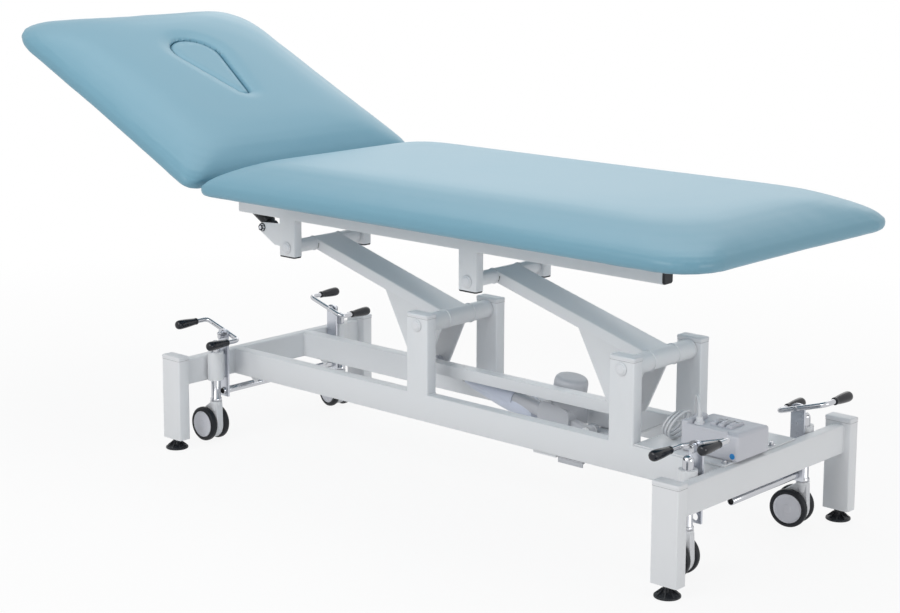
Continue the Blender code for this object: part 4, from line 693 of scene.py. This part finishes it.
# welds, bushes, and dark sheets painted as the shade inside the open ends of the lift arms
arm = {"lower": ((-0.0956, 0.352), (0.4481, 0.352)), "upper": ((-0.5005, 0.4660), (0.0432, 0.4660)),
       "half": 0.040, "lowerR": 0.020, "upperR": 0.0155, "lowerEnd": 0.0964, "upperEnd": 0.0977}
for body, low, high in zip(("head_arm", "foot_arm"), arm["lower"], arm["upper"]):
    bm, bush, dark = bmesh.new(), bmesh.new(), bmesh.new()
    for t in (-1, 1):
        for (x, z), r, end in ((low, arm["lowerR"], arm["lowerEnd"]),
                               (high, arm["upperR"], arm["upperEnd"])):
            ringAround(bm, (middleX + x, t * (arm["half"] + 0.0004), z), (0, 1, 0), r + 0.0002, 0.0014, 44)
            ring = [(r - 0.003, end - 0.0036), (r + 0.0007, end - 0.0036), (r + 0.0011, end - 0.0030),
                    (r + 0.0011, end - 0.0005), (r + 0.0007, end), (r - 0.003, end)]
            lathe(bush, [(a, t * h) for a, h in ring], (middleX + x, 0, z), (0, 1, 0), 40)
        x, z = middleX + high[0], high[1]
        # a near-black sheet on the arm's side at the upper pivot, painted shade of the opening
        mouth = ((0.0125, 0.0052), (0.0190, 0.0005), (0.0155, -0.0105), (0.0120, -0.0060))
        plate(dark, [(x + u, t * arm["half"], z + w) for u, w in mouth], (0, t * 0.0004, 0))
    newPiece(body + "_welds", closeUp(bm), "powderCoat", body, 50)
    newPiece(body + "_bushes", closeUp(bush), "moldedWhite", body, 40)
    newPiece(body + "_open_end_shade", closeUp(dark), "darkGap", body, 40)

# plate bolted under the near rail beside the actuator's strap
railPlate = {"x": 0.2915, "long": 0.063, "outY": -0.1248, "under": 0.1404, "boltsX": (0.012, 0.051)}
bm = bmesh.new()
px, outY, under = middleX + railPlate["x"], railPlate["outY"], railPlate["under"]
block(bm, (px, outY, under), (px + railPlate["long"], -0.0990, 0.1438), 0.0010, 2)
block(bm, (px, outY, 0.1318), (px + railPlate["long"], -0.1216, 0.1430), 0.0012, 2)
for x in railPlate["boltsX"]:
    hexHead(bm, (px + x, -0.1105, under), (0, 0, -1), 0.0052, 0.0040, 0.0068)
newPiece("rail_plate", closeUp(bm), "housingGrey", "base", 36)

# actuator: a tapered cover over its tube with a belly below, and the motor's round can
act = {"anchor": (0.258, 0.018, 0.158), "pin": (-0.168, 0.018, 0.235), "motorAt": 0.0785,
       "motorY": 0.0376, "motorR": 0.0361, "motorTop": 0.0898, "can": 0.030, "belly": (-0.0115, 0.0092)}
anchor = Vector(act["anchor"]) + Vector((middleX, 0, 0))
towards = (Vector(act["pin"]) - Vector(act["anchor"])).normalized()
square = Vector((-towards.z, 0, towards.x)) * (1 if towards.x > 0 else -1)
bm = bmesh.new()
lathe(bm, [(0.0160, 0.336), (0.0172, 0.336), (0.0178, 0.335), (0.0180, 0.330), (0.0181, 0.290),
           (0.0186, 0.262), (0.0192, 0.232), (0.0196, 0.206), (0.0195, 0.202), (0.0187, 0.200),
           (0.0160, 0.200)], anchor, towards, 48)
ringAround(bm, anchor + towards * 0.324, towards, 0.0179, 0.0006, 40)
drop, shift = act["belly"]
lathe(bm, [(0, 0.148), (0.0190, 0.148), (0.0228, 0.154), (0.0252, 0.166), (0.0264, 0.186), (0.0262, 0.212),
           (0.0245, 0.242), (0.0212, 0.274), (0.0180, 0.304), (0.0162, 0.322), (0.0150, 0.330), (0, 0.331)],
      anchor + square * drop + Vector((0, shift, 0)), towards, 48)
newPiece("actuator_cover", closeUp(bm), "coverLavender", "actuator_case", 40)
bm = bmesh.new()
r, top, foot = act["motorR"], act["motorTop"], act["can"]
at = anchor + towards * act["motorAt"] + Vector((0, act["motorY"] - act["anchor"][1], 0))
lathe(bm, [(r - 0.003, foot), (r, foot), (r, top - 0.0225), (r - 0.0007, top - 0.0220),
           (r - 0.0007, top - 0.0208), (r, top - 0.0203), (r, top - 0.0130), (r * 0.985, top - 0.0085),
           (r * 0.95, top - 0.0048), (r * 0.88, top - 0.0018), (r * 0.74, top - 0.0002),
           (r * 0.5, top + 0.0004), (0, top + 0.0006)], at, square, 56)
newPiece("motor_can", closeUp(bm), "housingGrey", "actuator_case", 44)

# gas spring: a dark sleeve over its lower end and the bolt that holds it
sleeve = [(0.0112, 0.012), (0.0142, 0.012), (0.0150, 0.014), (0.0150, 0.068), (0.0144, 0.072),
          (0.0112, 0.073)]
springBolt = (middleX - 0.591, -0.1132, 0.501)
along = jointAxis("gas_stroke")
bm = bmesh.new()
lathe(bm, sleeve, jointPoint("gas_swing"), along if along.x < 0 else -along, 40)
newPiece("gas_spring_sleeve", closeUp(bm), "blackRubber", "gas_case", 40)
bm = bmesh.new()
hexHead(bm, springBolt, (0, -1, 0), 0.0080, 0.0058, 0.0098)
newPiece("gas_spring_bolt", closeUp(bm), "blackRubber", "top", 38)
bm = bmesh.new()
lathe(bm, [(0, 0.0066), (0.0034, 0.0066), (0.0040, 0.0070), (0.0040, 0.0076), (0.0033, 0.0080),
           (0, 0.0082)], springBolt, (0, -1, 0), 24)
newPiece("gas_spring_stud", closeUp(bm), "zincPlate", "top", 40)

# control box: a case with a raised end and ridge, latches on the deck and a screwed gland
case = {"low": (0.569, -0.0965, 0.2076), "high": (0.700, 0.0120, 0.2620), "deck": 0.052, "latchFrom": 0.0425,
        "latchStep": 0.0185}
(x0, y0, z0), (x1, y1, z1) = case["low"], case["high"]
x0, x1 = x0 + middleX, x1 + middleX
latches = [x0 + case["latchFrom"] + case["latchStep"] * k for k in range(3)]
bm = bmesh.new()
block(bm, (x0, y0, z0), (x1, y1, z0 + case["deck"]), 0.0060, 4)
block(bm, (x1 - 0.034, y0 + 0.004, z0 + 0.036), (x1 - 0.0008, y1 - 0.016, z1), 0.0085, 5)
block(bm, (x0 + 0.0004, y0 + 0.0004, z0 + 0.038), (x0 + 0.0150, y1 - 0.036, z1 + 0.0065), 0.0042, 4)
block(bm, (x0 + 0.0100, y0 + 0.0004, z0 + 0.044), (x1 - 0.0250, y0 + 0.0060, z1 + 0.0012), 0.0022, 3)
for x in latches:
    block(bm, (x, y0 + 0.036, z0 + 0.048), (x + 0.0135, y0 + 0.078, z0 + 0.0575), 0.0022, 3)
    block(bm, (x + 0.0030, y0 + 0.042, z0 + 0.054), (x + 0.0105, y0 + 0.058, z0 + 0.0600), 0.0014, 2)
newPiece("control_box_case", closeUp(bm), "boxPlastic", "base", 40, ["control_box"])
bm = bmesh.new()
for x in latches:
    block(bm, (x + 0.0020, y0 + 0.062, z0 + 0.0560), (x + 0.0115, y0 + 0.066, z0 + 0.0579), 0.0003, 1)
newPiece("control_box_gaps", closeUp(bm), "jointLine", "base", 40)
gx, gy, gz = middleX + lead["glandAt"][0], lead["glandAt"][1], lead["glandTop"] - 0.0003
bm = bmesh.new()
hexHead(bm, (gx, gy, z0 + case["deck"] - 0.001), (0, 0, 1), 0.0098, 0.0060)
lathe(bm, [(0, gz - 0.010), (0.0068, gz - 0.010), (0.0068, gz - 0.0040), (0.0062, gz - 0.0012),
           (0.0052, gz), (0, gz)], (gx, gy, 0), (0, 0, 1), 32)
newPiece("control_box_gland", closeUp(bm), "moldedWhite", "base", 38)
bm = bmesh.new()
lathe(bm, [(0, -0.001), (0.0056, -0.001), (0.0056, 0.0006), (0.0050, 0.0011), (0.0034, 0.0014),
           (0, 0.0015)], (middleX + 0.6885, y0, 0.2190), (0, -1, 0), 32)
newPiece("control_box_stud", closeUp(bm), "blueCap", "base", 40)
bm = bmesh.new()
for y in (0.052, -0.108):
    hexHead(bm, (middleX + 0.6800, y, 0.2072), (0, 0, 1), 0.0050, 0.0052, 0.0068)
newPiece("tray_bolts", closeUp(bm), "chromePlate", "base", 38)
print("frame dressed")


# pivot axles with their two-step domed caps

axle = {"pinR": 0.008, "capR": 0.0135, "rise": 0.0045}
for name in ("head_lower_axle", "foot_lower_axle", "head_upper_axle", "foot_upper_axle"):
    low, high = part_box(name)
    mid = (low + high) / 2
    half = (high.y - low.y) / 2
    face, r, rise = half - axle["rise"] * 1.15, axle["capR"], axle["rise"]
    side = [(axle["pinR"], face), (r * 0.97, face), (r, face + rise * 0.08), (r, face + rise * 0.36),
            (r * 0.97, face + rise * 0.46), (r * 0.80, face + rise * 0.52), (r * 0.765, face + rise * 0.56),
            (r * 0.74, face + rise * 0.84), (r * 0.68, face + rise * 0.98), (r * 0.52, face + rise * 1.07),
            (r * 0.28, face + rise * 1.13), (0, face + rise * 1.15)]
    bm = bmesh.new()
    lathe(bm, [(a, -h) for a, h in reversed(side)] + side, mid, (0, 1, 0), 40)
    newPiece(name + "_skin", closeUp(bm), "moldedWhite", bodyOf[name], 42, [name])


# castors: chrome stem, moulded hood, tyres and hub discs

castor = {"wheelR": 0.0395, "gauge": 0.010, "outer": 0.026, "hubR": 0.0300, "stemR": 0.011,
          "stemLow": 0.098, "domeTop": 0.240, "hoodR": 0.0355, "hoodHalf": 0.0088}
corners = ("near_head", "far_head", "near_foot", "far_foot")


def tyreProfile(side):
    r, g, o = castor["wheelR"], castor["gauge"], castor["outer"]
    hub, bore = castor["hubR"], 0.0062
    line = [(bore, g), (r * 0.36, g), (r * 0.885, g + 0.0002), (r * 0.935, g + 0.0010),
            (r * 0.975, g + 0.0026), (r * 0.995, g + 0.0048), (r, g + 0.0075), (r * 0.995, o - 0.0050),
            (r * 0.975, o - 0.0027), (r * 0.935, o - 0.0010), (r * 0.885, o - 0.0002), (r * 0.83, o),
            (r * 0.80, o - 0.0004), (hub + 0.0006, o - 0.0010), (hub + 0.0004, o - 0.0034),
            (bore, o - 0.0034), (bore, g)]
    return [(a, side * h) for a, h in line]


def hubProfile(side):
    r, o = castor["hubR"], castor["outer"]
    line = [(0, o - 0.0030), (r, o - 0.0030), (r, o - 0.0009), (r * 0.985, o - 0.0003),
            (r * 0.955, o - 0.0001), (r * 0.925, o - 0.0004), (r * 0.905, o - 0.0011),
            (r * 0.60, o - 0.0008), (r * 0.34, o - 0.0006), (r * 0.31, o - 0.0004),
            (r * 0.28, o + 0.0003), (r * 0.22, o + 0.0006), (0, o + 0.0007)]
    return [(a, side * h) for a, h in line]


for corner in corners:
    centre, spin = jointPoint(corner + "_roll"), jointAxis(corner + "_roll")
    bm = bmesh.new()
    for side in (-1, 1):
        lathe(bm, tyreProfile(side), centre, spin, 56)
    newPiece(corner + "_tyres", closeUp(bm), "tyreRubber", corner + "_wheels", 40,
             [corner + "_castor_wheels"])
    bm = bmesh.new()
    for side in (-1, 1):
        lathe(bm, hubProfile(side), centre, spin, 48)
    lathe(bm, [(0, -0.0262), (0.006, -0.0262), (0.006, 0.0262), (0, 0.0262)], centre, spin, 24)
    newPiece(corner + "_hubs", closeUp(bm), "hubPlastic", corner + "_wheels", 34)
    at = jointPoint(corner + "_swivel")
    trail = Vector((centre.x - at.x, centre.y - at.y, 0)).normalized()
    slab = []
    for k in range(40):
        a = 2 * math.pi * k / 40
        slab.append(centre + (trail * math.cos(a) + Vector((0, 0, math.sin(a)))) * castor["hoodR"])
    slab += [Vector((at.x, at.y, castor["stemLow"] - 0.006)) + trail * u for u in (-0.0120, 0.0120)]
    bm = bmesh.new()
    both = [bm.verts.new(q + spin * side * castor["hoodHalf"]) for side in (-1, 1) for q in slab]
    made = bmesh.ops.convex_hull(bm, input=both)
    inner = [v for v in made["geom_interior"] if isinstance(v, bmesh.types.BMVert)]
    bmesh.ops.delete(bm, geom=inner, context="VERTS")
    bmesh.ops.dissolve_limit(bm, angle_limit=math.radians(1), verts=bm.verts, edges=bm.edges)
    low = castor["stemLow"]
    lathe(bm, [(0, low - 0.024), (0.0105, low - 0.024), (0.0128, low - 0.012), (0.0134, low - 0.006),
               (0.0134, low - 0.0016), (0.0128, low - 0.0006), (0, low - 0.0006)], (at.x, at.y, 0),
          (0, 0, 1), 40)
    newPiece(corner + "_castor_hood", closeUp(bm), "moldedWhite", corner + "_fork", 40,
             [corner + "_castor_fork"], 0.0016)
    r, low, top = castor["stemR"], castor["stemLow"], castor["domeTop"]
    side = [(0, low), (r * 1.12, low), (r * 1.2, low + 0.0008), (r * 1.2, low + 0.0052),
            (r * 1.13, low + 0.0062), (r, low + 0.0078)]
    for k in range(9):
        a = math.radians(90 * k / 8)
        side.append((r * math.cos(a), top - r + r * math.sin(a)))
    bm = bmesh.new()
    lathe(bm, side, (at.x, at.y, 0), (0, 0, 1), 40)
    newPiece(corner + "_stem_chrome", closeUp(bm), "chromePlate", corner + "_stem", 42,
             [corner + "_castor_stem"])
print("castors made")


# pedals: bent chrome rods on plated side plates, with bulbous grips

pedal = {"rodR": 0.0055, "barIn": 0.0085, "inner": 0.0435, "outer": 0.069, "reach": 0.089,
         "tilt": math.radians(17.0), "bend": 0.012, "hubR": 0.0057, "pinR": 0.0030, "lugR": 0.0044,
         "lugDrop": 0.013, "lugY": 0.012, "lugFace": 0.0030}
grip = {"r": 0.0108, "length": 0.060}


def bendRound(a, corner, b, r, steps=8):
    p0, p1 = corner + (a - corner).normalized() * r, corner + (b - corner).normalized() * r
    shares = [k / steps for k in range(steps + 1)]
    return [p0.lerp(corner, u).lerp(corner.lerp(p1, u), u) for u in shares]


for corner in corners:
    pivot = jointPoint(corner + "_pedal_press")
    s = 1 if "_foot" in corner else -1
    t = 1 if corner.startswith("far") else -1
    lean = Vector((s * math.cos(pedal["tilt"]), 0, math.sin(pedal["tilt"])))
    centre = pivot - Vector((0, t * pedal["barIn"], 0))
    out = Vector((0, t * pedal["reach"], 0))
    a, b = centre - lean * pedal["inner"], centre + lean * pedal["outer"]
    bends = bendRound(a + out, a, b, pedal["bend"]) + bendRound(a, b, b + out, pedal["bend"])
    path = [a + out, *bends, b + out]
    bm = bmesh.new()
    rodAlong(bm, path, pedal["rodR"], 6)
    outward = Vector((0, t, 0))
    r, h = pedal["hubR"], pedal["rodR"]
    hub = [(0, -h), (r * 0.9, -h), (r, -h * 0.8), (r, h * 0.8), (r * 0.9, h), (0, h)]
    lathe(bm, hub, centre, outward, 32)
    r, pinIn, pinEnd = pedal["pinR"], -pedal["barIn"], pedal["lugFace"] + pedal["lugY"] + 0.0028
    pin = [(0, pinIn), (r, pinIn), (r, pinEnd - 0.0008), (r * 0.8, pinEnd), (0, pinEnd)]
    lathe(bm, pin, pivot, outward, 24)
    lug, r = [], pedal["lugR"]
    for k in range(24):
        turnBy = math.pi * (k + 0.5) / 12
        drop = 0.0 if k < 12 else pedal["lugDrop"] - r
        lug.append(pivot + Vector((r * math.cos(turnBy), t * pedal["lugFace"], r * math.sin(turnBy) - drop)))
    plate(bm, lug, (0, t * pedal["lugY"], 0))
    newPiece(corner + "_pedal_rod", closeUp(bm), "chromePlate", corner + "_pedal_arm", 40,
             [corner + "_pedal"], 0.0003)
    for tip, node in ((a + out, corner + "_inner_grip"), (b + out, corner + "_outer_grip")):
        r, back = grip["r"], grip["length"] - 0.004
        side = [(0, 0.0040), (r * 0.30, 0.0038), (r * 0.58, 0.0030), (r * 0.78, 0.0014), (r * 0.91, -0.0010),
                (r * 0.98, -0.0042), (r, -0.0080), (r * 0.985, -0.0150), (r * 0.945, -0.0230),
                (r * 0.88, -0.0320), (r * 0.80, -0.0410), (r * 0.735, -0.0480), (r * 0.715, -0.0510),
                (r * 0.74, -0.0525), (r * 0.74, -0.0545), (r * 0.70, -back), (pedal["rodR"] + 0.0002, -back),
                (pedal["rodR"] + 0.0002, -back + 0.004), (0, -back + 0.004)]
        bm = bmesh.new()
        lathe(bm, side, tip, outward, 40)
        newPiece(node + "_skin", closeUp(bm), "gripPlastic", corner + "_pedal_arm", 44, [node])
print("pedals made")


# levelling feet: a ribbed pad on a threaded spindle

foot = {"r": 0.0255, "disc": 0.0095, "neckR": 0.0085, "neckTop": 0.0232, "stemR": 0.0055, "stemTop": 0.060,
        "ribs": 8}
for corner in corners:
    name = corner + "_foot"
    low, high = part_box(name)
    x, y = (low.x + high.x) / 2, (low.y + high.y) / 2
    r, d, n, neckTop = foot["r"], foot["disc"], foot["neckR"], foot["neckTop"]
    side = [(0, 0), (r * 0.96, 0), (r, d * 0.08), (r, d * 0.32), (r * 0.985, d * 0.42), (r * 0.93, d * 0.50),
            (r * 0.80, d * 0.66), (r * 0.62, d * 0.84), (r * 0.47, d * 1.0), (r * 0.40, d * 1.2),
            (n * 1.02, d * 1.5), (n, d * 1.75), (n, neckTop - 0.0006), (n * 0.93, neckTop),
            (foot["stemR"], neckTop), (foot["stemR"], foot["stemTop"]), (0, foot["stemTop"])]
    bm = bmesh.new()
    lathe(bm, side, (x, y, 0), (0, 0, 1), 48)
    for k in range(foot["ribs"]):
        angle = 2 * math.pi * (k + 0.5) / foot["ribs"]
        turnRib = Matrix.Translation((x, y, 0)) @ Matrix.Rotation(angle, 4, "Z")
        rib = bmesh.new()
        plate(rib, [(n * 0.8, -0.0011, d * 0.4), (r * 0.93, -0.0011, d * 0.40), (r * 0.90, -0.0011, d * 0.62),
                    (n * 1.25, -0.0011, d * 1.72), (n * 0.8, -0.0011, d * 1.72)], (0, 0.0022, 0))
        rib.transform(turnRib)
        piece = bpy.data.meshes.new("rib")
        rib.to_mesh(piece)
        rib.free()
        bm.from_mesh(piece)
        bpy.data.meshes.remove(piece)
    newPiece(name + "_skin", closeUp(bm), "blackRubber", corner + "_leveller", 38, [name], 0.0003)
print("feet made")


# upholstery: foam pads in vinyl, pulled over a board

hinge = jointPoint("head_tilt")
restTilt = math.radians(25.4)
# from the head section laid flat to its place
headFlat = Matrix.Translation(hinge) @ Matrix.Rotation(restTilt, 4, "Y")
cushions = {"pressure": 4.0, "mass": 0.02, "steps": 20, "shrink": 0.0012, "cap": 0.0030, "smooth": 5,
            "rim": 0.09, "ripple": 0.0006, "rippleScale": 20.0, "crownSmooth": 40, "crownFacing": 0.5,
            "clearOfFace": 0.014, "pullBack": 0.9}
padFace = {"wideAt": -0.462, "wideR": 0.066, "tipAt": -0.282, "tipR": 0.017, "haloWide": 0.042,
           "haloDeep": 0.0062, "plugDrop": 0.0040, "rollWide": 0.016, "rollDeep": 0.0036}


def faceEdge(x, y):
    # distance outside the face opening, a wide circle and a small one with straight flanks
    span = padFace["tipAt"] - padFace["wideAt"]
    b = (padFace["wideR"] - padFace["tipR"]) / span
    a = math.sqrt(1 - b * b)
    px, py = abs(y), x - padFace["wideAt"]
    k = py * a - px * b
    if k < 0:
        return math.hypot(px, py) - padFace["wideR"]
    if k > a * span:
        return math.hypot(px, py - span) - padFace["tipR"]
    return px * a + py * b - padFace["wideR"]


def padPart(node, place, cutAt=None, upper=True):
    # a pad's solid laid flat, or its part above or below a level
    bm = solidMesh(node)
    bm.transform(place.inverted())
    if cutAt is not None:
        everything = list(bm.verts) + list(bm.edges) + list(bm.faces)
        bmesh.ops.bisect_plane(bm, geom=everything, dist=0.00001, plane_co=(0, 0, cutAt), plane_no=(0, 0, 1),
                               clear_inner=upper, clear_outer=not upper)
        bmesh.ops.triangle_fill(bm, edges=[e for e in bm.edges if e.is_boundary], use_beauty=True)
        bmesh.ops.recalc_face_normals(bm, faces=bm.faces)
    return bm


def bmeshFrom(mesh):
    out = bmesh.new()
    out.from_mesh(mesh)
    bpy.data.meshes.remove(mesh)
    return out


def modified(bm, kind, settings):
    # the mesh with one modifier applied
    ob = objectFrom(bm, "padWork")
    mod = ob.modifiers.new("work", kind)
    for name, v in settings.items():
        setattr(mod, name, v)
    return bmeshFrom(bakedMesh(ob))


def relax(bm, verts, onlyUp=False):
    bmesh.ops.smooth_vert(bm, verts=verts, factor=0.5, use_axis_x=not onlyUp, use_axis_y=not onlyUp,
                          use_axis_z=True)


def inflated(bm, held, spec):
    # cloth with air pressure inside and the stapled edge held, each point's travel capped
    ob = objectFrom(bm, "padCloth")
    start = np.array([v.co for v in ob.data.vertices])
    pins = ob.vertex_groups.new(name="held")
    pins.add([i for i, p in enumerate(start) if held(p)], 1.0, "REPLACE")
    mod = ob.modifiers.new("cloth", "CLOTH")
    cloth = mod.settings
    cloth.quality = 5
    cloth.mass = spec["mass"]
    cloth.use_pressure = True
    cloth.uniform_pressure_force = spec["pressure"]
    cloth.vertex_group_mass = "held"
    cloth.effector_weights.gravity = 0.0
    mod.collision_settings.use_collision = False
    mod.point_cache.frame_start, mod.point_cache.frame_end = 1, spec["steps"]
    for step in range(1, spec["steps"] + 1):
        scene.frame_set(step)
    moved = ob.evaluated_get(bpy.context.evaluated_depsgraph_get()).to_mesh()
    end = np.array([v.co for v in moved.vertices])
    travel = end - start
    far = np.linalg.norm(travel, axis=1)
    travel *= np.minimum(1.0, spec["cap"] / np.maximum(far, 1e-9))[:, None]
    print("  travel mm: mean %.2f, most %.2f" % (far.mean() * 1000, far.max() * 1000))
    mesh = ob.data.copy()
    ob.modifiers.clear()
    scene.frame_set(1)
    bpy.data.objects.remove(ob)
    out = bmeshFrom(mesh)
    out.verts.ensure_lookup_table()
    for v, p in zip(out.verts, start + travel):
        v.co = p
    return out


def rimSwell(bm, fuller, outX):
    # pulled vinyl stands a little proud round the rim, rippled, but not at the joint of the two pads
    bm.normal_update()
    xs, ys = [v.co.x for v in bm.verts], [v.co.y for v in bm.verts]
    x0, x1, y0, y1 = min(xs), max(xs), min(ys), max(ys)
    for v, out in [(v, v.normal.copy()) for v in bm.verts]:
        inside = min(v.co.x - x0, x1 - v.co.x, v.co.y - y0, y1 - v.co.y) / cushions["rim"]
        share = min(1.0, max(0.0, 1.0 - inside) * 1.6)
        wave = noise.noise(v.co * cushions["rippleScale"]) * cushions["ripple"]
        push = Vector((max(0.0, out.x * outX) * outX, out.y, 0)) * fuller + out * wave
        v.co += push * share * share * (3 - 2 * share)


def cushion(name, node, body, place, under, size, held, shape, fuller, outX):
    bm = padPart(node, place, None if under is None else under - 0.0002)
    bmesh.ops.recalc_face_normals(bm, faces=bm.faces)
    pattern = BVHTree.FromBMesh(bm)
    floorZ = under if under is not None else min(v.co.z for v in bm.verts)
    bm.normal_update()
    for v, inward in [(v, v.normal.copy()) for v in bm.verts]:
        if v.co.z > floorZ + 0.002:
            v.co -= inward * cushions["shrink"]
    bm = modified(bm, "REMESH", {"mode": "VOXEL", "voxel_size": size})
    bm = inflated(bm, held, cushions)
    free = [v for v in bm.verts if not held(v.co)]
    for k in range(cushions["smooth"]):
        relax(bm, free)
    bm = modified(bm, "SUBSURF", {"levels": 1, "render_levels": 1})
    for k in range(3):
        # what the smoothing drew in goes back to the pattern's outline
        for v in bm.verts:
            spot, facing = pattern.find_nearest(v.co)[:2]
            if (v.co - spot).dot(facing) < 0:
                v.co = v.co.lerp(spot, cushions["pullBack"])
        relax(bm, bm.verts)
    if fuller > 0:
        bm.normal_update()
        crown = [v for v in bm.verts if v.normal.z > cushions["crownFacing"]]
        if shape:
            crown = [v for v in crown if faceEdge(v.co.x, v.co.y) > cushions["clearOfFace"]]
        for k in range(cushions["crownSmooth"]):
            relax(bm, crown, True)
        rimSwell(bm, fuller, outX)
    if shape:
        shape(bm)
    bm.transform(place)
    ob = newPiece(name, bm, "blueVinyl", body, 180, [node])
    print(" ", name, len(ob.data.polygons), "faces")


footUnder, headUnder = 0.6066, 0.0006
plugLow = headUnder - 0.0183


def shapeHead(bm):
    # the vinyl is drawn down round the face opening
    wide = padFace["haloWide"]
    for v in bm.verts:
        if v.co.z > headUnder + 0.045:
            d = faceEdge(v.co.x, v.co.y)
            if 0 <= d < wide:
                v.co.z -= padFace["haloDeep"] * (1 - d / wide) ** 2


def shapePlug(bm):
    # the plug sits a little low, its rim rolled under
    high, wide = max(v.co.z for v in bm.verts), padFace["rollWide"]
    for v in bm.verts:
        if v.co.z > high - 0.016:
            d = -faceEdge(v.co.x, v.co.y)
            v.co.z -= padFace["plugDrop"] + padFace["rollDeep"] * max(0.0, 1 - d / wide) ** 2


def heldFoot(p):
    return p[2] < footUnder + 0.004


def heldHead(p):
    return p[2] < headUnder + 0.004 or faceEdge(p[0], p[1]) < 0.006


def heldPlug(p):
    return p[2] < plugLow + 0.07


asBuilt = Matrix.Identity(4)
cushion("foot_pad_cover", "foot_pad", "top", asBuilt, footUnder, 0.0085, heldFoot, None, 0.0040, 1)
cushion("head_pad_cover", "head_pad", "head_section", headFlat, headUnder, 0.0075, heldHead, shapeHead,
        0.0066, -1)
cushion("face_plug_cover", "face_plug", "plug", headFlat, None, 0.0035, heldPlug, shapePlug, 0.0, 1)

# the board below each cushion, in the same vinyl
for name, node, body, place, under in (("foot_pad_board", "foot_pad", "top", asBuilt, footUnder),
                                       ("head_pad_board", "head_pad", "head_section", headFlat, headUnder)):
    bm = padPart(node, place, under - 0.0004, False)
    bm.transform(place)
    newPiece(name, bm, "blueVinyl", body, 34)
print("upholstery made")
